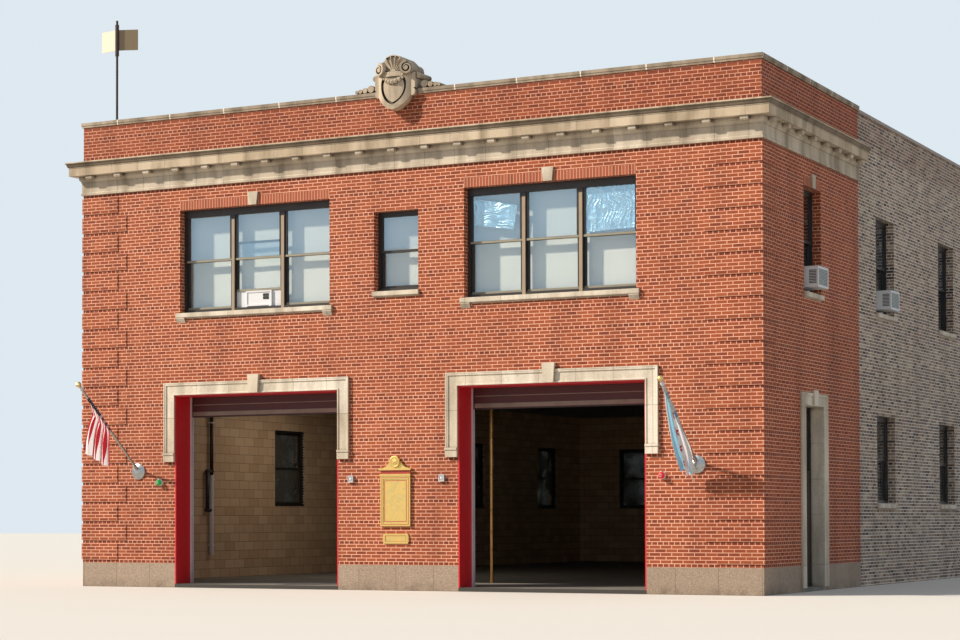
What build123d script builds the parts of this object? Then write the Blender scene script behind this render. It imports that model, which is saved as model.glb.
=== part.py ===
from build123d import *
from math import cos, pi, radians, sin
import os

# Two-bay brick fire station building, in millimetres.
# The origin lies on the ground under the middle of the street front.
# +X runs to the right along the front, +Y into the building and +Z up.

# Brickwork
COURSE = 67.7
BRICK = 223.4
GRANITE_TOP = 500.0


def level(courses):
    """Height of the top of a brick course, counted from the granite."""
    return GRANITE_TOP + courses * COURSE


# Outline of the building
WIDTH = 68 * BRICK
DEPTH = 112 * BRICK
RETURN_DEPTH = 26 * BRICK
FRONT_WALL = 2 * BRICK
SIDE_WALL = 1.5 * BRICK
REAR_WALL = 1.5 * BRICK
HALF = WIDTH / 2
INNER = HALF - SIDE_WALL
BACK_INNER = DEPTH - REAR_WALL

# Floors and roof
FLOOR_TOP = 75.0
UPPER_FLOOR_TOP = 4800.0
UPPER_FLOOR_THICK = 250.0
ROOF_TOP = 8780.0
ROOF_THICK = 220.0

# Tops of the walls
STONE_COPING_TOP = level(138)
STONE_COPING_THICK = 110.0
TILE_COPING_TOP = level(137)
TILE_COPING_THICK = 70.0
COPING_LIP = 40.0
COPING_DRIP = (12.0, 30.0)
COPING_FALL = 10.0
TILE_LIP = 20.0

# Apparatus doorways
BAY_X = (-3275.0, 3345.0)
DOORWAY_WIDTH = 3928.0
DOORWAY_HEAD = 3976.0
SURROUND_LEG = 256.0
SURROUND_OUT = 55.0
SURROUND_FOOT = level(31)
PLINTH_HEIGHT = 137.3
PLINTH_STEP = 8.0
IMPOST_HEIGHT = 44.0
IMPOST_STEP = 22.0
IMPOST_EAR = 10.0
DOOR_KEY_HEIGHT = 375.0
DOOR_KEY_WIDTHS = (215.0, 262.0)
DOOR_KEY_OUT = 95.0

# Moulding of the stone surrounds, from the opening outwards
BEAD_WIDTH = 22.0
BEAD_BACK = 10.0
FACE_BACK = 26.0
FACE_SLOPE = 10.0
BAND_WIDTH = 66.0
BAND_SLOPE = 12.0
BAND_BACK = 6.0
FILLET_WIDTH = 22.0
FILLET_SLOPE = 8.0

# Front windows
WIDE_X = (-3316.0, 3323.0)
WIDE_WIDTH = 3612.0
WIDE_LIGHTS = 3
WIDE_HEAD = level(108)
WIDE_SILL = level(76.7)
SMALL_X = 12.0
SMALL_WIDTH = 996.0
SMALL_HEAD = level(103)
SMALL_SILL = level(79.9)
REVEAL = 170.0
WINDOW_KEY_HEIGHT = 262.0
WINDOW_KEY_OUT = 42.0
WIDE_KEY_WIDTHS = (182.0, 246.0)
RETURN_KEY_WIDTHS = (150.0, 200.0)

# Windows and door of the side walls
RETURN_OPENING_Y = 2850.0
RETURN_WINDOW_WIDTH = 1040.0
RETURN_HEAD = level(107)
RETURN_SILL = level(77.4)
SIDE_DOOR_WIDTH = 1080.0
SIDE_DOOR_HEAD = 3550.0
SIDE_DOOR_REVEAL = 240.0
SIDE_DOOR_LEG = 240.0
SIDE_DOOR_OUT = 45.0
SIDE_KEY_HEIGHT = 300.0
SIDE_KEY_WIDTHS = (190.0, 240.0)
SIDE_KEY_OUT = 70.0
BAY_FIRST_Y = 7690.0
BAY_PITCH = 4872.0
BAY_COUNT = 4
BAY_WINDOW_WIDTH = 1340.0
BAY_UPPER_HEAD = level(106.8)
BAY_UPPER_SILL = level(77.1)
BAY_LOWER_HEAD = level(45)
BAY_LOWER_SILL = level(18)
REAR_PITCH = 3500.0

# Window joinery
FRAME_DEPTH = 120.0
FRAME_FACE = 55.0
MULLION = 90.0
SASH_FACE = 48.0
SASH_DEPTH = 40.0
SASH_IN = 20.0
GLASS_THICK = 6.0

# Stone sills: fall of the top at the wall face and at the nose, drip under the nose, corbels
SILL_THICK = 140.0
SILL_OUT = 60.0
SILL_TAIL = REVEAL + 20.0
WIDE_SILL_EAR = 70.0
SMALL_SILL_EAR = 22.0
SILL_FALL = (14.0, 24.0)
DRIP_HEIGHT = 22.0
DRIP_SLOPE = (14.0, 12.0)
CORBEL_HALF = 100.0
CORBEL_INSET = 110.0
CORBEL_DROP = 80.0
CORBEL_BELLY = (26.0, 40.0)
CORBEL_NOSE = (54.0, 4.0)

# Air conditioners and shades
FRONT_COOLER = 330.0
COOLED_LIGHT = 1
SIDE_COOLER = 420.0
COOLER_WIDTH = 620.0
COOLER_OUT = 215.0
FRONT_COOLER_IN = 30.0
COOLER_TAIL = 60.0
COOLER_LIFT = 20.0
COOLER_FOOT = 45.0
COOLER_RIM = 30.0
COOLER_SUNK = 15.0
BOARD_IN = 70.0
BOARD_THICK = 16.0
COOLED_SIDE_WINDOWS = (0, 2)
SHADE_THICK = 5.0
SHADE_BACK = 85.0
SHADE_GAP = 8.0
SHADE_LIFT = 40.0

# Frieze and cornice: bead, bed mould, corona and crown, each standing on the one below
FRIEZE_FOOT = level(115)
FRIEZE_OUT = 25.0
FRIEZE_BEAD = (39.0, 46.0)
FRIEZE_FALL = 14.0
BED_FOOT = level(119)
BED_HEIGHT = 131.7
BED_FILLET = (37.0, 18.0)
BED_OUT = 70.0
BED_SLOPE = 62.0
CORONA_FOOT = BED_FOOT + BED_HEIGHT
CORONA_HEIGHT = 166.0
CORONA_TOP = CORONA_FOOT + CORONA_HEIGHT
CORONA_OUT = 222.0
CROWN_HEIGHT = 124.0
CROWN_TOP = CORONA_TOP + CROWN_HEIGHT
CROWN_OUT = 289.0
CROWN_LIP = (6.0, 28.0)
CYMA_STEP = (8.0, 12.0)
CYMA_BEND = 70.0
MODILLION_WIDTH = 150.0
MODILLION_OUT = 196.0
MODILLION_ROLL = 60.0
MODILLION_ROOT = 66.0
ROLL_STEPS = 3
FRONT_MODILLIONS = 21
FRONT_MODILLION_EDGE = 273.0
SIDE_MODILLIONS = 8
SIDE_MODILLION_EDGE = 245.0

# Quoins
QUOIN_COURSES = 5
QUOIN_PERIOD = 6
QUOIN_BLOCKS = 19
QUOIN_LONG = 5 * BRICK
QUOIN_SHORT = 4 * BRICK
QUOIN_RETURN_LONG = 3 * BRICK
QUOIN_RETURN_SHORT = 2 * BRICK
QUOIN_OUT = 20.0

# Overhead doors
LINING_THICK = 28.0
LINING_DEPTH = 515.0
TRACK_WIDTH = 60.0
TRACK_DEPTH = 80.0
TRACK_WALL = 5.0
TRACK_BEND = 300.0
TRACK_FLATS = 4
TRACK_SPARE = 150.0
LEAF_THICK = 50.0
LEAF_CORE = 30.0
LEAF_SECTIONS = 7
LEAF_LAP = 20.0
LEAF_GROOVE = 6.0
LEAF_HANG = 430.0
RAIL_HEIGHT = 75.0
RAIL_THICK = 56.0

# Side entrance door
DOOR_GAP = 6.0
DOOR_LEAF = 45.0
DOOR_STILE = 50.0
SIDE_FRAME_DEPTH = 65.0
TRANSOM_FOOT = FLOOR_TOP + 2180.0
TRANSOM_BAR = 60.0
KNUCKLE_R = 8.0
KNUCKLE = 45.0
KNUCKLE_GAP = 0.3
KNUCKLE_CLEAR = 1.0
HINGE_LOW = 220.0
HINGE_HIGH = 260.0
HINGE_STRAP = 40.0
HINGE_PLATE = 4.0
HANDLE_Z = 1080.0
HANDLE_IN = 75.0
HANDLE_PLATE = (48.0, 6.0, 180.0)
HANDLE_LEVER = (120.0, 14.0, 18.0)
HANDLE_OUT = 52.0
HANDLE_STEM = 16.0

# Sliding pole between the storeys, and the square hatch round it
POLE_X = 589.0
POLE_Y = 3000.0
POLE_R = 35.0
HATCH_HALF = 450.0

# Flagpoles, leaning out from the wall
FLAGPOLE_X = (-6154.0, 6318.0)
FLAGPOLE_Z = (2404.0, 2388.0)
FLAGPOLE_LENGTH = (2640.0, 2260.0)
FLAGPOLE_SLOPE = 40.0
FLAGPOLE_R = 26.0
FLAG_PLATE_R = 165.0
FLAG_PLATE_THICK = 24.0
FLAG_DOME_OUT = 86.0
FLAG_SOCKET_R = 40.0
FLAG_SOCKET_FLATS = 12
FLAG_SOCKET_LENGTH = 210.0
FLAG_BALL_R = 55.0
BALL_FLATS = 8
FLAG_TIE = 0.3

# Flags: reach along the pole of the upper and lower corner of the hoist,
# then the far and near lower corners as (way out from the wall, height over the pole's foot)
FLAG_HOISTS = ((2265.0, 1320.0), (2078.0, 1175.0))
FLAG_CORNERS = (((1763.0, 404.0), (957.0, 140.0)), ((727.0, -188.0), (208.0, -308.0)))
FLAG_THICK = 12.0
FLAG_FOLD = 38.0
FLAG_FOLD_PITCH = 260.0
FLAG_FOLD_STEPS = 6

# Plaques and small fittings
PLAQUE_X = (-325.0, 345.0)
PLAQUE_Z = (1262.0, 2246.0)
PLAQUE_OUT = 45.0
PLAQUE_RIM = 60.0
PLAQUE_SUNK = 12.0
PLAQUE_LEDGE = 36.0
LOW_LEDGE_OVER = (10.0, 14.0)
HIGH_LEDGE_OVER = (24.0, 30.0)
PLAQUE_BAND = 78.0
BAND_SUNK = 6.0
CREST_INSET = 10.0
CREST_HEIGHT = 150.0
CREST_NECK = 96.0
CREST_KNEE = (0.74, 18.0)
CREST_BEND = (0.52, 62.0)
CREST_HOLLOW = (0.38, 118.0)
MEDALLION_DROP = 20.0
MEDALLION_OUT = 71.0
MEDALLION_R = 112.0
SMALL_PLAQUE_HALF = 275.0
SMALL_PLAQUE_Z = (920.0, 1114.0)
SMALL_PLAQUE_OUT = 30.0
SMALL_PLAQUE_RIM = (36.0, 30.0)
SMALL_PLAQUE_SUNK = 8.0
CALL_BOX_X = (-1004.0, 1037.0)
CALL_BOX_Z = (2130.0, 2260.0)
CALL_BOX_HALF = 55.0
CALL_BOX_OUT = 50.0
LAMPS = ((-5615.0, 2172.0), (5632.0, 2194.0))
LAMP_R = 60.0
LAMP_OUT = 120.0
LAMP_DOME = ((1.0, 0.5), (0.5, 1.0))

# Cartouche, heights counted from the top of the coping
CARTOUCHE_X = 60.0
CARTOUCHE_BACK = 430.0
BOW_R = 640.0
FRAME_HALF = 415.0
FRAME_OUT = 235.0
FIELD_HALF = 280.0
FIELD_OUT = 165.0
SWELL_HALF = 230.0
SWELL_OUT = 205.0
SHOULDER_Z = 330.0
TIP_Z = -420.0
FIELD_INSET = 95.0
SWELL_INSET = 150.0
VOLUTE_R = 150.0
VOLUTE_X = 226.0
VOLUTE_Z = 385.0
VOLUTE_OUT = 246.0
VOLUTE_TURNS = 1.6
VOLUTE_STEPS = 14
VOLUTE_CLOSING = 0.72
VOLUTE_BAND = 46.0
VOLUTE_EYE_R = 40.0
VOLUTE_CORE_R = 135.0
VOLUTE_SUNK = 50.0
VOLUTE_TURNED = 20.0
HOOD_R = 268.0
HOOD_Z = 400.0
HOOD_OUT = 205.0
FLUTES = 9
FLUTE_SPREAD = 78.0
FLUTE_FOOT_R = 14.0
FLUTE_TIP_R = 56.0
FLUTE_FLATS = 6
FLUTE_LENGTH = 330.0
FLUTE_SUNK = 30.0
FLUTE_DROP = 90.0
FLUTE_TILT = 8.0
EAR_X = 470.0
EAR_Z = 250.0
EAR_R = 58.0
EAR_OUT = 70.0
STRAP_Z = (0.0, 300.0)
STRAP_HALF = 448.0
STRAP_OUT = 120.0
HOOK_X = 372.0
HOOK_Z = -70.0
HOOK_R = 82.0
ROLL_FLATS = 12
GARLAND_FRUITS = 7
GARLAND_HALF = 200.0
GARLAND_Z = 130.0
GARLAND_SAG = 80.0
GARLAND_R = 58.0
SCROLL_ROLLS = ((600.0, 72.0), (735.0, 56.0), (845.0, 44.0), (925.0, 34.0))
SCROLL_DEPTH = (-24.0, 300.0)
STEM_LAP = 10.0
STEM_BACK = ((0.0, 130.0), (600.0, 96.0), (760.0, 56.0), (925.0, 26.0))

# Aerial mast
MAST_IN = 115.0
MAST_X = -INNER + MAST_IN
MAST_Y = FRONT_WALL + MAST_IN
MAST_TOP = 12100.0
MAST_R = 25.0
MAST_FOOT = 200.0
MAST_FOOT_THICK = 20.0
SLEEVE_R = 42.0
SLEEVE_Z = (MAST_TOP - 760.0, MAST_TOP - 90.0)
PANEL_Z = (MAST_TOP - 640.0, MAST_TOP - 200.0)
PANEL_WIDTH = 460.0
PANEL_THICK = 12.0
PANEL_TURNS = (20.0, 170.0)


def block(x0, x1, y0, y1, z0, z1):
    """Upright box between two corners."""
    box = Box(x1 - x0, y1 - y0, z1 - z0)
    return Pos((x0 + x1) / 2, (y0 + y1) / 2, (z0 + z1) / 2) * box


def mirror_x(shape):
    """The same shape on the other side of the middle of the front."""
    return mirror(shape, about=Plane.YZ)


def on_side(shape, side):
    """Turn a piece drawn on the front to the right (1) or left (-1) side wall.

    Its x becomes the distance from the front, its -y the way out of the wall.
    """
    turned = Pos(HALF, 0, 0) * Rot(0, 0, 90) * shape
    return turned if side > 0 else mirror_x(turned)


def on_rear(shape):
    """Turn a piece drawn on the front to the rear wall."""
    return Pos(0, DEPTH, 0) * Rot(0, 0, 180) * shape


def run_of(profile, depth):
    """Carry a section round the front and both returns, mitred at the corners.

    The section is a face drawn with x out of the wall and y up.
    """
    path = Polyline((-HALF, depth), (-HALF, 0), (HALF, 0), (HALF, depth))
    start = Plane(origin=(-HALF, depth, 0), x_dir=(-1, 0, 0), z_dir=(0, 1, 0))
    return sweep(start * profile, path=path, transition=Transition.RIGHT)


parts = {}


def add(name, *shapes):
    """File solids under the name of their piece."""
    solids = []
    for shape in shapes:
        solids.extend(shape.solids())
    parts[name] = Compound(children=solids) if len(solids) > 1 else solids[0]


# Openings in the walls, as (middle, width, sill, head)
WIDE = [(x, WIDE_WIDTH, WIDE_SILL, WIDE_HEAD) for x in WIDE_X]
SMALL = (SMALL_X, SMALL_WIDTH, SMALL_SILL, SMALL_HEAD)
RETURN_WINDOW = (RETURN_OPENING_Y, RETURN_WINDOW_WIDTH, RETURN_SILL, RETURN_HEAD)
BAY_YS = [BAY_FIRST_Y + i * BAY_PITCH for i in range(BAY_COUNT)]
REAR_XS = [(i - (BAY_COUNT - 1) / 2) * REAR_PITCH for i in range(BAY_COUNT)]
STOREYS = ((BAY_LOWER_SILL, BAY_LOWER_HEAD), (BAY_UPPER_SILL, BAY_UPPER_HEAD))
BAY_WINDOWS = [(y, BAY_WINDOW_WIDTH, s, h) for y in BAY_YS for s, h in STOREYS]
REAR_WINDOWS = [(x, BAY_WINDOW_WIDTH, s, h) for x in REAR_XS for s, h in STOREYS]


def hole(window, thick):
    """The hole that a window and its sill need, in a wall drawn on the front."""
    middle, width, foot, head = window
    x0, x1 = middle - width / 2, middle + width / 2
    bed = block(x0, x1, -thick, SILL_TAIL, foot - SILL_THICK, foot)
    return block(x0, x1, -thick, 2 * thick, foot, head) + bed


# Front wall: piers beside the doorways, spandrel, piers beside the windows and head
PIER_EDGES = [-HALF]
for bay in BAY_X:
    PIER_EDGES += [bay - DOORWAY_WIDTH / 2, bay + DOORWAY_WIDTH / 2]
PIER_EDGES.append(HALF)
PIERS = list(zip(PIER_EDGES[0::2], PIER_EDGES[1::2]))
WALL_TOP = STONE_COPING_TOP - STONE_COPING_THICK
add("front_piers", *[block(x0, x1, 0, FRONT_WALL, GRANITE_TOP, DOORWAY_HEAD) for x0, x1 in PIERS])
spandrel = block(-HALF, HALF, 0, FRONT_WALL, DOORWAY_HEAD, WIDE_SILL)
for window in WIDE:
    spandrel -= hole(window, FRONT_WALL)
add("front_spandrel", spandrel)
window_band = block(-HALF, HALF, 0, FRONT_WALL, WIDE_SILL, WIDE_HEAD)
for window in WIDE + [SMALL]:
    window_band -= hole(window, FRONT_WALL)
add("front_window_piers", window_band)
add("front_wall_head", block(-HALF, HALF, 0, FRONT_WALL, WIDE_HEAD, WALL_TOP))

# Granite base under the front and the returns
base = [block(x0, x1, 0, FRONT_WALL, 0, GRANITE_TOP) for x0, x1 in PIERS]
DOOR_EDGE = (RETURN_OPENING_Y - SIDE_DOOR_WIDTH / 2, RETURN_OPENING_Y + SIDE_DOOR_WIDTH / 2)
base.append(block(-HALF, -INNER, FRONT_WALL, RETURN_DEPTH, 0, GRANITE_TOP))
base.append(block(INNER, HALF, FRONT_WALL, DOOR_EDGE[0], 0, GRANITE_TOP))
base.append(block(INNER, HALF, DOOR_EDGE[1], RETURN_DEPTH, 0, GRANITE_TOP))
left_base = base[0] + base[3]
right_base = base[2] + base[4]
add("granite_base", left_base, base[1], right_base, base[5])

# Returns in face brick
SIDE_HOLE = on_side(hole(RETURN_WINDOW, SIDE_WALL), 1)
jambs = [block(INNER, HALF, y0, y1, GRANITE_TOP, SIDE_DOOR_HEAD)
         for y0, y1 in ((FRONT_WALL, DOOR_EDGE[0]), (DOOR_EDGE[1], RETURN_DEPTH))]
add("right_return_jambs", *jambs)
return_upper = block(INNER, HALF, FRONT_WALL, RETURN_DEPTH, SIDE_DOOR_HEAD, WALL_TOP)
add("right_return_upper", return_upper - SIDE_HOLE)
left_return = block(-HALF, -INNER, FRONT_WALL, RETURN_DEPTH, GRANITE_TOP, WALL_TOP)
add("left_return_wall", left_return - mirror_x(SIDE_HOLE))

# Side and rear walls in common brick
COMMON_TOP = TILE_COPING_TOP - TILE_COPING_THICK
side_wall = block(INNER, HALF, RETURN_DEPTH, DEPTH, 0, COMMON_TOP)
for window in BAY_WINDOWS:
    side_wall -= on_side(hole(window, SIDE_WALL), 1)
add("right_side_wall", side_wall)
add("left_side_wall", mirror_x(side_wall))
rear_wall = block(-INNER, INNER, BACK_INNER, DEPTH, 0, COMMON_TOP)
for window in REAR_WINDOWS:
    rear_wall -= on_rear(hole(window, REAR_WALL))
add("rear_wall", rear_wall)

# Floors and roof
floor = block(-INNER, INNER, FRONT_WALL, BACK_INNER, 0, FLOOR_TOP)
for (_, x0), (x1, _) in zip(PIERS[:-1], PIERS[1:]):
    floor += block(x0, x1, 0, FRONT_WALL, 0, FLOOR_TOP)
floor += block(INNER, HALF, DOOR_EDGE[0], DOOR_EDGE[1], 0, FLOOR_TOP)
add("apparatus_floor", floor)
UPPER_FLOOR_FOOT = UPPER_FLOOR_TOP - UPPER_FLOOR_THICK
upper_floor = block(-INNER, INNER, FRONT_WALL, BACK_INNER, UPPER_FLOOR_FOOT, UPPER_FLOOR_TOP)
upper_floor -= block(POLE_X - HATCH_HALF, POLE_X + HATCH_HALF, POLE_Y - HATCH_HALF,
                     POLE_Y + HATCH_HALF, UPPER_FLOOR_FOOT, UPPER_FLOOR_TOP)
add("upper_floor", upper_floor)
add("roof_deck", block(-INNER, INNER, FRONT_WALL, BACK_INNER, ROOF_TOP - ROOF_THICK, ROOF_TOP))

# Quoins at both front corners, a recessed course under each block
quoins = []
for i in range(QUOIN_BLOCKS):
    z0 = level(1 + QUOIN_PERIOD * i)
    z1 = z0 + QUOIN_COURSES * COURSE
    long_block = (QUOIN_BLOCKS - 1 - i) % 2 == 1
    front_run = QUOIN_LONG if long_block else QUOIN_SHORT
    side_run = QUOIN_RETURN_SHORT if long_block else QUOIN_RETURN_LONG
    quoin = block(HALF - front_run, HALF + QUOIN_OUT, -QUOIN_OUT, 0, z0, z1)
    quoin += block(HALF, HALF + QUOIN_OUT, -QUOIN_OUT, side_run, z0, z1)
    quoins += [quoin, mirror_x(quoin)]
add("quoins", *quoins)

# Stone frieze and cornice
bead_out, bead_height = FRIEZE_BEAD
bead_top = FRIEZE_FOOT + bead_height
frieze_face = Polygon(
    (0, FRIEZE_FOOT), (bead_out, FRIEZE_FOOT), (bead_out, bead_top),
    (FRIEZE_OUT, bead_top + FRIEZE_FALL), (FRIEZE_OUT, BED_FOOT), (0, BED_FOOT), align=None)
add("frieze", run_of(frieze_face, RETURN_DEPTH))
cyma_low = (CORONA_OUT + CYMA_STEP[0], CORONA_TOP + CYMA_STEP[1])
cyma_high = (CROWN_OUT - CROWN_LIP[0], CROWN_TOP - CROWN_LIP[1])
cyma_mid = ((cyma_low[0] + cyma_high[0]) / 2, (cyma_low[1] + cyma_high[1]) / 2)
fillet_out, fillet_height = BED_FILLET
with BuildSketch() as cornice_sketch:
    with BuildLine():
        Polyline((0, BED_FOOT), (fillet_out, BED_FOOT), (fillet_out, BED_FOOT + fillet_height),
                 (BED_OUT, BED_FOOT + BED_SLOPE), (BED_OUT, CORONA_FOOT), (CORONA_OUT, CORONA_FOOT),
                 (CORONA_OUT, CORONA_TOP), (CORONA_OUT + CYMA_STEP[0], CORONA_TOP), cyma_low)
        RadiusArc(cyma_low, cyma_mid, -CYMA_BEND)
        RadiusArc(cyma_mid, cyma_high, CYMA_BEND)
        Polyline(cyma_high, (CROWN_OUT, CROWN_TOP - CROWN_LIP[1]), (CROWN_OUT, CROWN_TOP - CROWN_LIP[0]),
                 (0, CROWN_TOP), (0, BED_FOOT))
    make_face()
add("cornice", run_of(cornice_sketch.sketch, RETURN_DEPTH))


def modillion(middle):
    """Scrolled bracket under the cornice, drawn on the front."""
    top = CORONA_FOOT
    radius = MODILLION_ROLL / 2
    eye = (radius - MODILLION_OUT, top - MODILLION_ROLL)
    roll = [(eye[0] - radius * cos(a), eye[1] - radius * sin(a))
            for a in (pi * i / ROLL_STEPS for i in range(ROLL_STEPS + 1))]
    section = Polygon((-BED_OUT, BED_FOOT + MODILLION_ROOT), (-BED_OUT, top), (-MODILLION_OUT, top),
                      *roll, align=None)
    return Pos(middle, 0, 0) * extrude(Plane.YZ * section, MODILLION_WIDTH / 2, both=True)


front_pitch = (WIDTH - 2 * FRONT_MODILLION_EDGE) / (FRONT_MODILLIONS - 1)
side_pitch = (RETURN_DEPTH - 2 * SIDE_MODILLION_EDGE) / (SIDE_MODILLIONS - 1)
modillions = []
for i in range(FRONT_MODILLIONS):
    modillions.append(modillion(-HALF + FRONT_MODILLION_EDGE + i * front_pitch))
for i in range(SIDE_MODILLIONS):
    piece = modillion(SIDE_MODILLION_EDGE + i * side_pitch)
    modillions += [on_side(piece, 1), on_side(piece, -1)]
add("modillions", *modillions)

# Copings
drip, drip_height = COPING_DRIP
nose = Polygon((0, WALL_TOP), (COPING_LIP - drip, WALL_TOP), (COPING_LIP - drip, WALL_TOP + drip_height),
               (COPING_LIP, WALL_TOP + drip_height + drip), (COPING_LIP, STONE_COPING_TOP - COPING_FALL),
               (0, STONE_COPING_TOP), align=None)
coping = run_of(nose, RETURN_DEPTH)
coping += block(-HALF, HALF, 0, FRONT_WALL + COPING_LIP, WALL_TOP, STONE_COPING_TOP)
for x0, x1 in ((-HALF, -INNER + COPING_LIP), (INNER - COPING_LIP, HALF)):
    coping += block(x0, x1, 0, RETURN_DEPTH, WALL_TOP, STONE_COPING_TOP)
add("stone_coping", coping)
tile = block(-HALF - TILE_LIP, HALF + TILE_LIP, RETURN_DEPTH, DEPTH + TILE_LIP, COMMON_TOP,
             TILE_COPING_TOP)
tile -= block(-INNER + TILE_LIP, INNER - TILE_LIP, 0, BACK_INNER - TILE_LIP, 0, STONE_COPING_TOP)
add("tile_coping", tile)


def surround(width, head, foot, leg, out):
    """Moulded stone surround of a doorway: two legs and a lintel, mitred."""
    bead, face, band = out - BEAD_BACK, out - FACE_BACK, out - BAND_BACK
    section = Polygon((0, 0), (0, bead), (BEAD_WIDTH, bead), (BEAD_WIDTH + FACE_SLOPE, face),
                      (leg - BAND_WIDTH, face), (leg - BAND_WIDTH + BAND_SLOPE, band),
                      (leg - FILLET_WIDTH - FILLET_SLOPE, band), (leg - FILLET_WIDTH, out), (leg, out),
                      (leg, 0), align=None)
    path = Polyline((-width / 2, 0, foot), (-width / 2, 0, head), (width / 2, 0, head),
                    (width / 2, 0, foot))
    start = Plane(origin=(-width / 2, 0, foot), x_dir=(-1, 0, 0), z_dir=(0, 0, 1))
    return sweep(start * section, path=path, transition=Transition.RIGHT)


def keystone(middle, foot, height, widths, out):
    """Wedge stone standing out of the wall, its widths at the foot and at the top."""
    low, high = widths[0] / 2, widths[1] / 2
    face = Polygon((-low, foot), (low, foot), (high, foot + height), (-high, foot + height), align=None)
    return Pos(middle, 0, 0) * extrude(Plane.XZ * face, out)


surrounds = []
for x in BAY_X:
    stone = surround(DOORWAY_WIDTH, DOORWAY_HEAD, SURROUND_FOOT, SURROUND_LEG, SURROUND_OUT)
    for side in (-1, 1):
        inner = side * DOORWAY_WIDTH / 2
        outer = side * (DOORWAY_WIDTH / 2 + SURROUND_LEG)
        plinth_top = SURROUND_FOOT + PLINTH_HEIGHT
        lo, hi = sorted((inner, outer))
        stone += block(lo, hi, -SURROUND_OUT - PLINTH_STEP, 0, SURROUND_FOOT, plinth_top)
        lo, hi = sorted((inner, outer + side * IMPOST_EAR))
        stone += block(lo, hi, -SURROUND_OUT - IMPOST_STEP, 0, plinth_top, plinth_top + IMPOST_HEIGHT)
    stone += keystone(0, DOORWAY_HEAD, DOOR_KEY_HEIGHT, DOOR_KEY_WIDTHS, DOOR_KEY_OUT)
    surrounds.append(Pos(x, 0, 0) * stone)

side_stone = surround(SIDE_DOOR_WIDTH, SIDE_DOOR_HEAD, FLOOR_TOP, SIDE_DOOR_LEG, SIDE_DOOR_OUT)
side_stone += keystone(0, SIDE_DOOR_HEAD, SIDE_KEY_HEIGHT, SIDE_KEY_WIDTHS, SIDE_KEY_OUT)
surrounds.append(on_side(Pos(RETURN_OPENING_Y, 0, 0) * side_stone, 1))
add("door_surrounds", *surrounds)

# Keystones over the windows
keys = [keystone(x, WIDE_HEAD, WINDOW_KEY_HEIGHT, WIDE_KEY_WIDTHS, WINDOW_KEY_OUT) for x in WIDE_X]
side_key = keystone(RETURN_OPENING_Y, RETURN_HEAD, WINDOW_KEY_HEIGHT, RETURN_KEY_WIDTHS, WINDOW_KEY_OUT)
keys += [on_side(side_key, 1), on_side(side_key, -1)]


def sill(window, ear, corbelled=False):
    """Stone sill with a sloped top, and corbels under its ends where asked."""
    middle, width, foot, _ = window
    low = foot - SILL_THICK
    drip = low + DRIP_HEIGHT
    section = Polygon((SILL_TAIL, low), (SILL_TAIL, foot), (0, foot - SILL_FALL[0]),
                      (-SILL_OUT, foot - SILL_FALL[1]), (-SILL_OUT, drip + DRIP_SLOPE[1]),
                      (-SILL_OUT + DRIP_SLOPE[0], drip), (0, drip), (0, low), align=None)
    stone = extrude(Plane.YZ * section, width / 2 + ear, both=True)
    stone -= block(-width, -width / 2, 0, 2 * SILL_TAIL, low, foot)
    stone -= block(width / 2, width, 0, 2 * SILL_TAIL, low, foot)
    if corbelled:
        side_face = Polygon((0, low - CORBEL_DROP), (0, drip), (-CORBEL_NOSE[0], drip),
                            (-CORBEL_NOSE[0], low + CORBEL_NOSE[1]),
                            (-CORBEL_BELLY[0], low - CORBEL_BELLY[1]), align=None)
        corbel = extrude(Plane.YZ * side_face, CORBEL_HALF, both=True)
        for side in (-1, 1):
            stone += Pos(side * (width / 2 + ear - CORBEL_INSET), 0, 0) * corbel
    return Pos(middle, 0, 0) * stone


sills = [sill(window, WIDE_SILL_EAR, corbelled=True) for window in WIDE]
sills.append(sill(SMALL, SMALL_SILL_EAR))
return_sill = sill(RETURN_WINDOW, SMALL_SILL_EAR)
sills += [on_side(return_sill, 1), on_side(return_sill, -1)]
for window in BAY_WINDOWS:
    piece = sill(window, 0)
    sills += [on_side(piece, 1), on_side(piece, -1)]
sills += [on_rear(sill(window, 0)) for window in REAR_WINDOWS]
add("window_stonework", *keys, *sills)


def ring(x0, x1, y0, y1, z0, z1, face):
    """Rectangular frame lying in the wall."""
    outer = block(x0, x1, y0, y1, z0, z1)
    return outer - block(x0 + face, x1 - face, y0 - 1, y1 + 1, z0 + face, z1 - face)


def sash_window(window, lights, raised=None):
    """Frame, glass and light centres of a double-hung window, drawn on the front.

    raised gives, by light, how far the lower sash is pushed up.
    """
    raised = raised or {}
    middle, width, foot, head = window
    y0 = REVEAL
    frame = block(middle - width / 2, middle + width / 2, y0, y0 + FRAME_DEPTH, foot, head)
    middles, light_width = light_middles(window, lights)
    inner_foot = foot + FRAME_FACE
    inner_head = head - FRAME_FACE
    meet = (inner_foot + inner_head) / 2
    panes = []
    for i, x in enumerate(middles):
        a, b = x - light_width / 2, x + light_width / 2
        lift = raised.get(i, 0)
        frame -= block(a, b, y0 - 1, y0 + FRAME_DEPTH + 1, inner_foot, inner_head)
        upper_y = y0 + SASH_IN
        sashes = ((upper_y, meet - SASH_FACE / 2, inner_head),
                  (upper_y + SASH_DEPTH, inner_foot + lift, meet + SASH_FACE / 2 + lift))
        for y, z0, z1 in sashes:
            frame += ring(a, b, y, y + SASH_DEPTH, z0, z1, SASH_FACE)
            glass_y = y + (SASH_DEPTH - GLASS_THICK) / 2
            panes.append(block(a + SASH_FACE, b - SASH_FACE, glass_y, glass_y + GLASS_THICK,
                               z0 + SASH_FACE, z1 - SASH_FACE))
    return frame, panes


def light_middles(window, lights):
    """Middles of the lights of a window, and their width."""
    middle, width, _, _ = window
    light_width = (width - 2 * FRAME_FACE - (lights - 1) * MULLION) / lights
    first = middle - width / 2 + FRAME_FACE + light_width / 2
    return [first + i * (light_width + MULLION) for i in range(lights)], light_width


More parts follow.
